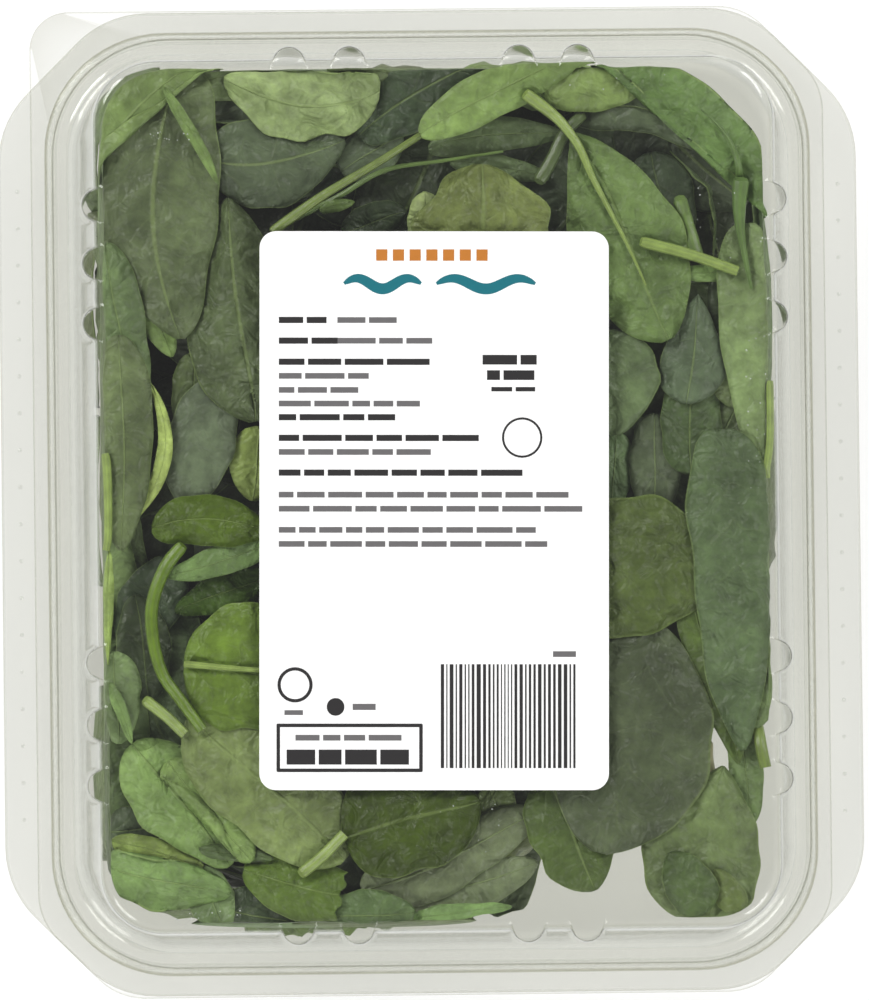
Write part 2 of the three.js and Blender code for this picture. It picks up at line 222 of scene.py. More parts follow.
plastic = {
    "trayTint": (0.955, 0.957, 0.947, 1.0),
    "lidTint": (1.0, 1.0, 0.996, 1.0),
    "paintedShadeTint": (0.56, 0.56, 0.47, 1.0),   # painted shade: how dark what shows through goes where the sheet's shade attribute is set
    "slantTint": (0.86, 0.865, 0.84, 1.0),  # what shows through where the sheet is seen at a slant
    "slantPower": 3.0,
    "edgeTint": (0.42, 0.43, 0.42, 1.0),    # and where it is seen edge on
    "edgePower": 18.0,
    "gloss": (1.0, 1.0, 1.0, 1.0),
    "roughness": 0.07,
    "straightGloss": 0.03,    # share reflected when looked at squarely
    "glossPower": 5.0,
    "haze": (0.9, 0.93, 0.92, 1.0),
    "hazeShare": 0.004,
    "slantHaze": 0.22,        # frosting on the slopes
    "hazeFrom": (0.4, 0.8),   # how far aslant it begins and is whole
    "rippleScale": 38.0,
    "rippleHeight": 0.00008,
    "rippleStrength": 0.5,
}


def clearPlastic(name, tint):
    material, tree = newMaterial(name)
    out = addNode(tree, "ShaderNodeOutputMaterial")
    slant = addNode(tree, "ShaderNodeLayerWeight")
    slant.inputs["Blend"].default_value = 0.5
    facing = slant.outputs["Facing"]
    slanted = mixColour(tree, "MIX", mathNode(tree, "POWER", facing, plastic["slantPower"]), tint,
                        plastic["slantTint"])
    edgeOn = mixColour(tree, "MIX", mathNode(tree, "POWER", facing, plastic["edgePower"]), slanted,
                       plastic["edgeTint"])
    # painted shade: the shade attribute on the sheet's points darkens what shows through it
    paintedShade = addNode(tree, "ShaderNodeAttribute", attribute_name="paintedShade")
    through = addNode(tree, "ShaderNodeBsdfTransparent")
    tree.links.new(mixColour(tree, "MIX", paintedShade.outputs["Fac"], edgeOn, plastic["paintedShadeTint"]),
                   through.inputs["Color"])
    haze = addNode(tree, "ShaderNodeBsdfDiffuse")
    haze.inputs["Color"].default_value = plastic["haze"]
    frost = mapRange(tree, facing, *plastic["hazeFrom"], plastic["hazeShare"], plastic["slantHaze"],
                     "SMOOTHSTEP")
    cloudy = mixShaders(tree, frost, through, haze)
    gloss = addNode(tree, "ShaderNodeBsdfAnisotropic")
    gloss.inputs["Color"].default_value = plastic["gloss"]
    gloss.inputs["Roughness"].default_value = plastic["roughness"]
    addBump(tree, gloss, addNoise(tree, plastic["rippleScale"], 0.0), plastic["rippleStrength"],
            plastic["rippleHeight"])
    steep = mathNode(tree, "POWER", facing, plastic["glossPower"])
    share = mathNode(tree, "MULTIPLY_ADD", steep, 1.0 - plastic["straightGloss"], plastic["straightGloss"])
    tree.links.new(mixShaders(tree, share, cloudy, gloss).outputs[0], out.inputs["Surface"])
    return material


# Leaf surface: a tint for each leaf, veins that follow its own length and width, and a fine puckering

leafLook = {
    "veinPitch": 9.5,         # millimetres from one side vein to the next
    "veinSlope": 0.95,        # how far they run forward for each millimetre they run out
    "veinHalf": 0.055,        # half the width of a side vein, as a share of the pitch
    "veinShare": 0.2,         # how much weaker than the rib they are
    "ribHalf": (0.055, 0.012),
    "veinLight": (0.30, 0.40, 0.13, 1.0),
    "margin": (0.965, 0.45),  # where the painted highlight along a blade's edge begins, and how light it is
    "roughness": 0.40,
    "specular": 0.35,
    "strayScale": 75.0,       # wandering of the side veins
    "stray": 1.5,
    "mottleScale": 260.0,
    "mottleShade": (0.72, 1.27),
    "cloudScale": 55.0,
    "cloudShade": (0.8, 1.18),
    "puckerScale": 170.0,
    "bumpHeight": 0.0006,
    "bumpStrength": 0.8,
}


def leafMaterial(name):
    material, tree, skin = newSkin(name, Roughness=leafLook["roughness"])
    skin.inputs["Specular IOR Level"].default_value = leafLook["specular"]
    uv = addNode(tree, "ShaderNodeUVMap", uv_map="blade")
    split = addNode(tree, "ShaderNodeSeparateXYZ")
    tree.links.new(uv.outputs[0], split.inputs[0])
    across = mathNode(tree, "ABSOLUTE", mathNode(tree, "MULTIPLY_ADD", split.outputs[1], 2.0, -1.0))
    veins = addNode(tree, "ShaderNodeAttribute", attribute_name="veinCount")
    strayed = mathNode(tree, "MULTIPLY_ADD", addNoise(tree, leafLook["strayScale"], 1.0), leafLook["stray"],
                       veins.outputs["Fac"])
    phase = mathNode(tree, "FRACT", strayed)
    offLine = mathNode(tree, "ABSOLUTE", mathNode(tree, "SUBTRACT", phase, 0.5))
    side = mapRange(tree, offLine, leafLook["veinHalf"], 0.0, 0.0, 1.0, "SMOOTHSTEP")
    fade = mapRange(tree, across, 0.98, 0.35, 0.0, 1.0, "SMOOTHSTEP")
    rib = mapRange(tree, across, *leafLook["ribHalf"], 0.0, 1.0, "SMOOTHSTEP")
    sideVein = mathNode(tree, "MULTIPLY", mathNode(tree, "MULTIPLY", side, fade), leafLook["veinShare"])
    vein = mathNode(tree, "MAXIMUM", sideVein, rib)

    tint = addNode(tree, "ShaderNodeAttribute", attribute_name="leafTint")
    mottle = addNoise(tree, leafLook["mottleScale"], 3.0, Roughness=0.65)
    shade = mapRange(tree, mottle, 0.3, 0.7, *leafLook["mottleShade"])
    cloud = addNoise(tree, leafLook["cloudScale"], 2.0)
    value = mathNode(tree, "MULTIPLY", shade, mapRange(tree, cloud, 0.35, 0.65, *leafLook["cloudShade"]))
    body = shadeColour(tree, tint.outputs["Color"], value)
    lighter = mixColour(tree, "MIX", 0.45, body, leafLook["veinLight"])
    veined = mixColour(tree, "MIX", mathNode(tree, "MULTIPLY", vein, 0.75), body, lighter)
    # painted highlight: a pale rim along each blade's edge
    start, light = leafLook["margin"]
    margin = mapRange(tree, across, start, 1.0, 0.0, light, "SMOOTHSTEP")
    tree.links.new(mixColour(tree, "MIX", margin, veined, leafLook["veinLight"]), skin.inputs["Base Color"])

    # the blade puffs up between its side veins, and puckers at random
    puff = mathNode(tree, "ABSOLUTE", mathNode(tree, "COSINE", mathNode(tree, "MULTIPLY", phase, math.pi)))
    puff = mathNode(tree, "MULTIPLY", puff, fade)
    pucker = addNoise(tree, leafLook["puckerScale"], 2.0, Distortion=1.0)
    height = mathNode(tree, "MULTIPLY_ADD", puff, 0.7, mathNode(tree, "MULTIPLY", pucker, 4.0))
    height = mathNode(tree, "MULTIPLY_ADD", vein, -0.5, height)
    height = mathNode(tree, "MULTIPLY_ADD", mottle, 1.3, height)
    addBump(tree, skin, height, leafLook["bumpStrength"], leafLook["bumpHeight"])
    return material


stalkLook = {
    "roughness": 0.34,
    "grooves": 7,             # lengthwise grooves round a stalk
    "grooveDepth": 0.12,
    "streakScale": 330.0,
    "shade": (0.74, 1.16),
    "bumpHeight": 0.0004,
}


def stalkMaterial(name):
    material, tree, skin = newSkin(name, Roughness=stalkLook["roughness"])
    tint = addNode(tree, "ShaderNodeAttribute", attribute_name="leafTint")
    around = addNode(tree, "ShaderNodeAttribute", attribute_name="around")
    turn = mathNode(tree, "MULTIPLY", around.outputs["Fac"], 2 * math.pi * stalkLook["grooves"])
    uneven = mathNode(tree, "MULTIPLY_ADD", mathNode(tree, "SINE", turn), stalkLook["grooveDepth"],
                      addNoise(tree, stalkLook["streakScale"], 3.0))
    shade = mapRange(tree, uneven, 0.25, 0.75, *stalkLook["shade"])
    tree.links.new(shadeColour(tree, tint.outputs["Color"], shade), skin.inputs["Base Color"])
    addBump(tree, skin, uneven, 0.7, stalkLook["bumpHeight"])
    return material


def mottledMaterial(name, dark, light, scale, roughness, height):
    material, tree, skin = newSkin(name, Roughness=roughness)
    grain = addNoise(tree, scale, 5.0)
    tree.links.new(mixColour(tree, "MIX", grain, dark, light), skin.inputs["Base Color"])
    addBump(tree, skin, grain, 0.5, height)
    return material


# Geometry Nodes helpers

class NodeTree:
    def __init__(self, name, inputs):
        self.tree = bpy.data.node_groups.new(name, "GeometryNodeTree")
        face = self.tree.interface
        face.new_socket("Geometry", in_out="INPUT", socket_type="NodeSocketGeometry")
        for key, kind in inputs.items():
            face.new_socket(key, in_out="INPUT", socket_type=kind)
        face.new_socket("Geometry", in_out="OUTPUT", socket_type="NodeSocketGeometry")
        self.start = self.tree.nodes.new("NodeGroupInput")
        self.end = self.tree.nodes.new("NodeGroupOutput")

    def add(self, kind, links=None, **settings):
        node = self.tree.nodes.new(kind)
        for key, value in settings.items():
            setattr(node, key, value)
        for key, value in (links or {}).items():
            if isinstance(value, bpy.types.NodeSocket):
                self.tree.links.new(value, node.inputs[key])
            else:
                node.inputs[key].default_value = value
        return node

    def given(self, key):
        return self.start.outputs[key]

    def finish(self, socket):
        real = self.add("GeometryNodeRealizeInstances", {"Geometry": socket})
        dressed = self.add("GeometryNodeSetMaterial", {
            "Geometry": real.outputs[0], "Material": self.given("Material")})
        self.tree.links.new(dressed.outputs[0], self.end.inputs[0])
        return self.tree


def growMesh(name, tree, values, start=None):
    carrier = makeObject(name + "Grower", start or bpy.data.meshes.new(name + "Seed"))
    modifier = carrier.modifiers.new("grow", "NODES")
    modifier.node_group = tree
    sockets = {item.name: item.identifier for item in tree.interface.items_tree
               if item.item_type == "SOCKET" and item.in_out == "INPUT"}
    for key, value in values.items():
        modifier[sockets[key]] = value
    depsgraph = bpy.context.evaluated_depsgraph_get()
    mesh = bpy.data.meshes.new_from_object(carrier.evaluated_get(depsgraph))
    mesh.name = name
    bpy.data.objects.remove(carrier)
    return mesh


# Outlines

def arcPoints(centre, radius, startTurn, endTurn, steps):
    turns = np.radians(np.linspace(startTurn, endTurn, steps))
    return [(centre[0] + radius * math.cos(t), centre[1] + radius * math.sin(t)) for t in turns]


cornerSigns = ((1, 1), (-1, 1), (-1, -1), (1, -1))


def roundCorner(halfX, halfY, radius, index, steps):
    signX, signY = cornerSigns[index]
    centre = (signX * (halfX - radius), signY * (halfY - radius))
    return arcPoints(centre, radius, 90 * index, 90 * index + 90, steps)


def cutCorner(halfX, halfY, cut, rounding, index, steps):
    signX, signY = cornerSigns[index]
    far = cut + rounding * math.tan(math.pi / 8)
    besideX = (signX * (halfX - rounding), signY * (halfY - far))
    besideY = (signX * (halfX - far), signY * (halfY - rounding))
    first, second = (besideX, besideY) if index % 2 == 0 else (besideY, besideX)
    turn = 90 * index
    half = steps // 2
    return (arcPoints(first, rounding, turn, turn + 45, half)
            + arcPoints(second, rounding, turn + 45, turn + 90, half))


def mixSize(first, second, share):
    return tuple(a + (b - a) * share for a, b in zip(first, second))


def wallAt(z):
    share = (tub["panelTop"] - z) / (tub["panelTop"] - tub["ledgeTop"])
    return mixSize(tub["panel"], tub["ledge"], share)


def softMax(first, second, blend):
    overlap = max(blend - abs(first - second), 0.0)
    return max(first, second) + overlap * overlap / (4 * blend)


def lugStations(index):
    places = lugs["sides"] if index % 2 == 0 else lugs["ends"]
    steps = np.linspace(-1.3, 1.3, lugs["steps"])
    stations = [(place, step) for place in places for step in steps]
    return stations if index in (0, 3) else stations[::-1]


def lugOutline(place, step, radius, wallHalf, panelHalf, inset, lugInset):
    # distance along the side, and distance out from the middle
    size = radius - lugInset
    along = place + (step * size if abs(step) <= 1 else math.copysign(size + (abs(step) - 1) * radius, step))
    if abs(step) <= 1:
        lugOut = panelHalf - lugs["sunk"] + size * math.sqrt(max(0.0, 1 - step * step))
    else:
        lugOut = panelHalf - lugs["sunk"] - (abs(step) - 1) * radius * 3
    return along, softMax(wallHalf - inset, lugOut, lugs["blend"])


def tubRing(size, z, inset, lugInset, paintedShade=0.0, lugShade=0.0):
    ring = []
    for index in range(4):
        half, panelHalf = (size[0], tub["panel"][0]) if index % 2 == 0 else (size[1], tub["panel"][1])
        sign = 1 if index < 2 else -1
        for place, step in lugStations(index):
            along, out = lugOutline(place, step, lugs["radius"], half, panelHalf, inset, lugInset)
            x, y = (sign * out, along) if index % 2 == 0 else (along, sign * out)
            ring.append((x, y, z, max(paintedShade, lugShade if abs(step) <= 1.05 else 0.0)))
        corner = roundCorner(size[0] - inset, size[1] - inset, max(size[2] - inset, 1.0), index,
                             tub["cornerSteps"])
        ring += [(x, y, z, paintedShade) for x, y in corner]
    return ring


def flangeRing(z, inset, paintedShade=0.0):
    halfX, halfY, cut, rounding = tub["flange"]
    ring = []
    for index in range(4):
        sign = 1 if index < 2 else -1
        for place, step in lugStations(index):
            along = place + step * lugs["radius"]
            ring.append((sign * (halfX - inset), along, z, paintedShade) if index % 2 == 0
                        else (along, sign * (halfY - inset), z, paintedShade))
        corner = cutCorner(halfX - inset, halfY - inset, cut - inset * 0.586, rounding - inset, index,
                           tub["cornerSteps"])
        ring += [(x, y, z, paintedShade) for x, y in corner]
    return ring


def loft(name, rings):
    # the skin over rings of equal length; a fourth value in a point is the painted shade on the sheet there
    count = len(rings[0])
    points = [point[:3] for ring in rings for point in ring]
    paintedShade = [point[3] if len(point) > 3 else 0.0 for ring in rings for point in ring]
    faces = []
    for level in range(len(rings) - 1):
        for i in range(count):
            j = (i + 1) % count
            low, high = level * count, (level + 1) * count
            faces.append((low + i, high + i, high + j, low + j))
    last = (len(rings) - 1) * count
    faces.append(tuple(range(count)))
    faces.append(tuple(range(last + count - 1, last - 1, -1)))
    mesh = meshFrom(name, points, faces)
    mesh.attributes.new("paintedShade", "FLOAT", "POINT").data.foreach_set("value", paintedShade)
    return mesh


def turnOutward(mesh):
    shape = bmesh.new()
    shape.from_mesh(mesh)
    bmesh.ops.recalc_face_normals(shape, faces=shape.faces)
    if shape.calc_volume(signed=True) < 0:
        bmesh.ops.reverse_faces(shape, faces=shape.faces)
    bmesh.ops.triangulate(shape, faces=[face for face in shape.faces if len(face.verts) > 4])
    shape.to_mesh(mesh)
    shape.free()
    mesh.update()


def sharpenEdges(mesh, degrees):
    shape = bmesh.new()
    shape.from_mesh(mesh)
    for edge in shape.edges:
        if len(edge.link_faces) == 2 and edge.calc_face_angle(0.0) > math.radians(degrees):
            edge.smooth = False
    shape.to_mesh(mesh)
    shape.free()


# The profile runs from the panel's flat down the wall to the flange's edge: outline, height, inset, the lugs'
# inset, and the painted shade on the sheet and on the lugs
def tubProfile(thin):
    top, roundness = tub["panelTop"], tub["edgeRound"]
    steps = []
    # painted shade along the panel's rounded edge, and more on the lug tops
    for turn, paintedShade in ((0, 0), (15, 0), (30, 0), (45, 0.1), (60, 0.25), (75, 0.3), (90, 0.1)):
        angle = math.radians(turn)
        inset = roundness * (1 - math.sin(angle))
        z = top - roundness * (1 - math.cos(angle))
        lugInset = inset * lugs["edgeRound"] / roundness + thin * math.sin(angle)
        lugShade = 0.5 if 10 < turn < 80 else 0
        steps.append((wallAt(z), z - thin * math.cos(angle), inset + thin * math.sin(angle), lugInset,
                      paintedShade, lugShade))
    # the wall carries painted shade
    for z in (66, 60, 54, 48, lugs["foot"], 36, 28, 21, 18.2):
        steps.append((wallAt(z), z, thin, thin, tub["wallShade"], tub["wallShade"]))
    for share in (0.0, 0.25, 0.5, 0.75, 1.0):
        angle = share * math.pi / 2
        z = tub["ledgeTop"] + 0.6 - 1.2 * math.sin(angle)
        size = mixSize(wallAt(17.4), tub["shoulder"], (1 - math.cos(angle)) * 0.92)
        steps.append((size, z - thin * share, thin * (1 - share), thin, tub["wallShade"]))
    shoulder, rim, flange = tub["shoulder"], tub["rim"], tub["flangeTop"]
    # painted shade over the shoulder and the rim, darkest at the rim
    for size, z, inset, paintedShade in (
            (mixSize(tub["ledge"], shoulder, 0.9), tub["shoulderTop"] - thin * 0.8, thin * 0.5, 0.15),
            (mixSize(tub["ledge"], shoulder, 0.98), tub["shoulderTop"] - thin * 0.8, thin * 0.5, 0.3),
            (shoulder, tub["shoulderTop"] - 0.5 - thin * 0.6, thin * 0.9, 0.5),
            (mixSize(shoulder, rim, 0.5), 13.0, thin, 0.45),
            (mixSize(shoulder, rim, 0.9), flange + 0.4, thin, 0.5),
            (rim, flange + 0.06 - thin * 0.7, thin * 0.4, 0.7),
            (tuple(value + 0.35 for value in rim), flange - thin, 0.0, 0.6),
            (tuple(value + 0.6 for value in rim), flange - thin, 0.0, tub["flangeShade"])):
        steps.append((size, z, inset, thin, paintedShade))
    return [tubRing(*step) for step in steps]


def buildTray(material):
    top, sheet, paintedShade = tub["flangeTop"], tub["sheet"], tub["flangeShade"]
    # painted shade on the flange, darker along its edge
    outer = tubProfile(0.0) + [flangeRing(top, 1.6, paintedShade), flangeRing(top, 0.45, paintedShade),
                               flangeRing(top - 0.12, 0.1, 0.4),
                               flangeRing(top - 0.5, 0.0, 0.4), flangeRing(top - 0.95, 0.0, 0.4)]
    inner = [flangeRing(top - 0.95, sheet * 0.8, paintedShade), flangeRing(top - sheet, 0.6, paintedShade),
             flangeRing(top - sheet, 1.6, paintedShade)]
    inner += tubProfile(sheet)[::-1]
    mesh = loft("tray", outer + inner)
    turnOutward(mesh)
    sharpenEdges(mesh, 50)
    addPiece("clearTray", mesh, material, "clear_plastic", "tray")
    print("tray made,", len(mesh.polygons), "faces")


def lidRing(inset, z, paintedShade=0.0):
    halfX, halfY, radius = tub["rim"]
    ring = []
    for index in range(4):
        ring += roundCorner(halfX - inset, halfY - inset, radius - inset, index, tub["cornerSteps"])
    return [(x, y, z, paintedShade) for x, y in ring]


def lidFlangeRing(inset, z, paintedShade=0.0):
    halfX, halfY, cut, rounding = lid["flange"]
    ring = []
    for index in range(4):
        # painted shade along the lifting tab's edge
        if index == 1:      # the corner with the lifting tab
            corner = roundCorner(halfX - inset, halfY - inset, lid["tabRadius"] - inset, index,
                                 tub["cornerSteps"])
            last = len(corner) - 1
            ring += [(x, y, z, max(paintedShade, lid["tabShade"]) if 0 < number < last else paintedShade)
                     for number, (x, y) in enumerate(corner)]
        else:
            corner = cutCorner(halfX - inset, halfY - inset, cut - inset * 0.586, rounding - inset, index,
                               tub["cornerSteps"])
            ring += [(x, y, z, paintedShade) for x, y in corner]
    return ring


def lidProfile(thin):
    # from the flange in, over the plug bead and down to the dish
    top, bead = lid["flangeTop"] - thin, lid["beadTop"] - thin
    lean = thin * 0.9
    rings = [lidRing(1.5 + lean, top), lidRing(1.7 + lean, top + 0.6), lidRing(1.8 + lean, bead - 0.5),
             lidRing(2.2 + lean * 0.7, bead)]
    rings += [lidRing(4.6 - lean * 0.7, bead), lidRing(5.1 - lean, bead - 0.5),
              lidRing(6.9 - lean, 3.2 - thin * 0.5)]
    # the dish carries painted shade, for the shade inside the tub
    for turn in (20, 45, 70, 90):
        angle = math.radians(turn)
        rings.append(lidRing(7.0 + 2.6 * (1 - math.cos(angle)) - lean * math.cos(angle),
                             lid["sheet"] + 2.6 * (1 - math.sin(angle)) - thin * math.sin(angle),
                             lid["dishShade"]))
    return rings


def buildLid(material):
    top, sheet = lid["flangeTop"], lid["sheet"]
    # painted shade along the lid flange's edge
    inside = lidProfile(0.0)[::-1] + [lidFlangeRing(0.5, top), lidFlangeRing(0.1, top - 0.1, 0.35),
                                      lidFlangeRing(0.0, top - 0.4, 0.35)]
    outside = [lidFlangeRing(0.0, top - 0.75, 0.35), lidFlangeRing(sheet * 0.8, top - 0.75),
               lidFlangeRing(0.6, top - sheet)] + lidProfile(sheet)
    mesh = loft("lid", inside + outside)
    turnOutward(mesh)
    sharpenEdges(mesh, 50)
    addPiece("clearLid", mesh, material, "clear_plastic", "lid")
    print("lid made,", len(mesh.polygons), "faces")


# Leaves. Tints are the colours of the blades, seen through the plastic in soft light; the dark and shadow
# tones, given mostly to leaves lying lower in the heap, are their darker green with painted shade.

leafTints = {
    "mid": srgb(87, 103, 61),
    "midBright": srgb(104, 125, 65),
    "light": srgb(108, 133, 69),
    "yellow": srgb(134, 149, 92),
    "yellowDull": srgb(113, 127, 67),
    # partly painted reflection: the hazy tones add the pale haze of the plastic seen over these leaves to
    # their green
    "hazy": srgb(95, 116, 69),
    "hazyBright": srgb(102, 129, 69),
    "deep": srgb(80, 98, 59),
    "dark": srgb(68, 82, 55),
    "bright": srgb(119, 138, 67),
    "pale": srgb(150, 172, 91),
    "grey": srgb(92, 103, 70),
    "greyDark": srgb(77, 88, 61),
    "greyBright": srgb(103, 119, 64),
    "vivid": srgb(106, 134, 36),
    "fresh": srgb(84, 110, 16),
    "meadow": srgb(91, 116, 45),
    "green": srgb(83, 99, 44),
    "greenDark": srgb(63, 81, 16),
    "lone": srgb(85, 103, 57),
    "straw": srgb(160, 158, 118),
    "shadow": srgb(60, 70, 49),
    "greatDark": srgb(62, 74, 43),
    "corner": srgb(77, 92, 56),
    "edgeLight": srgb(120, 138, 87),
    "moss": srgb(85, 110, 26),
    "mossDark": srgb(60, 88, 6),
}

leafShape = {
    "thick": 0.34,            # at most, by each leaf's own measure
    "broadest": 0.80,         # below 1 the broadest place is nearer the stalk
    "blunt": 0.52,            # 0.5 rounds the ends off, more makes them pointed
    "ragged": 0.06,
    "flutter": 0.8,
    "swell": 0.6,
    "quilt": 0.5,
    "pucker": 0.45,
    "curl": 0.7,              # radius of a folded-over margin
    "gap": 0.5,               # air kept between one leaf and the next
    "depthStep": 5.0,         # how much lower each layer would like to lie
}

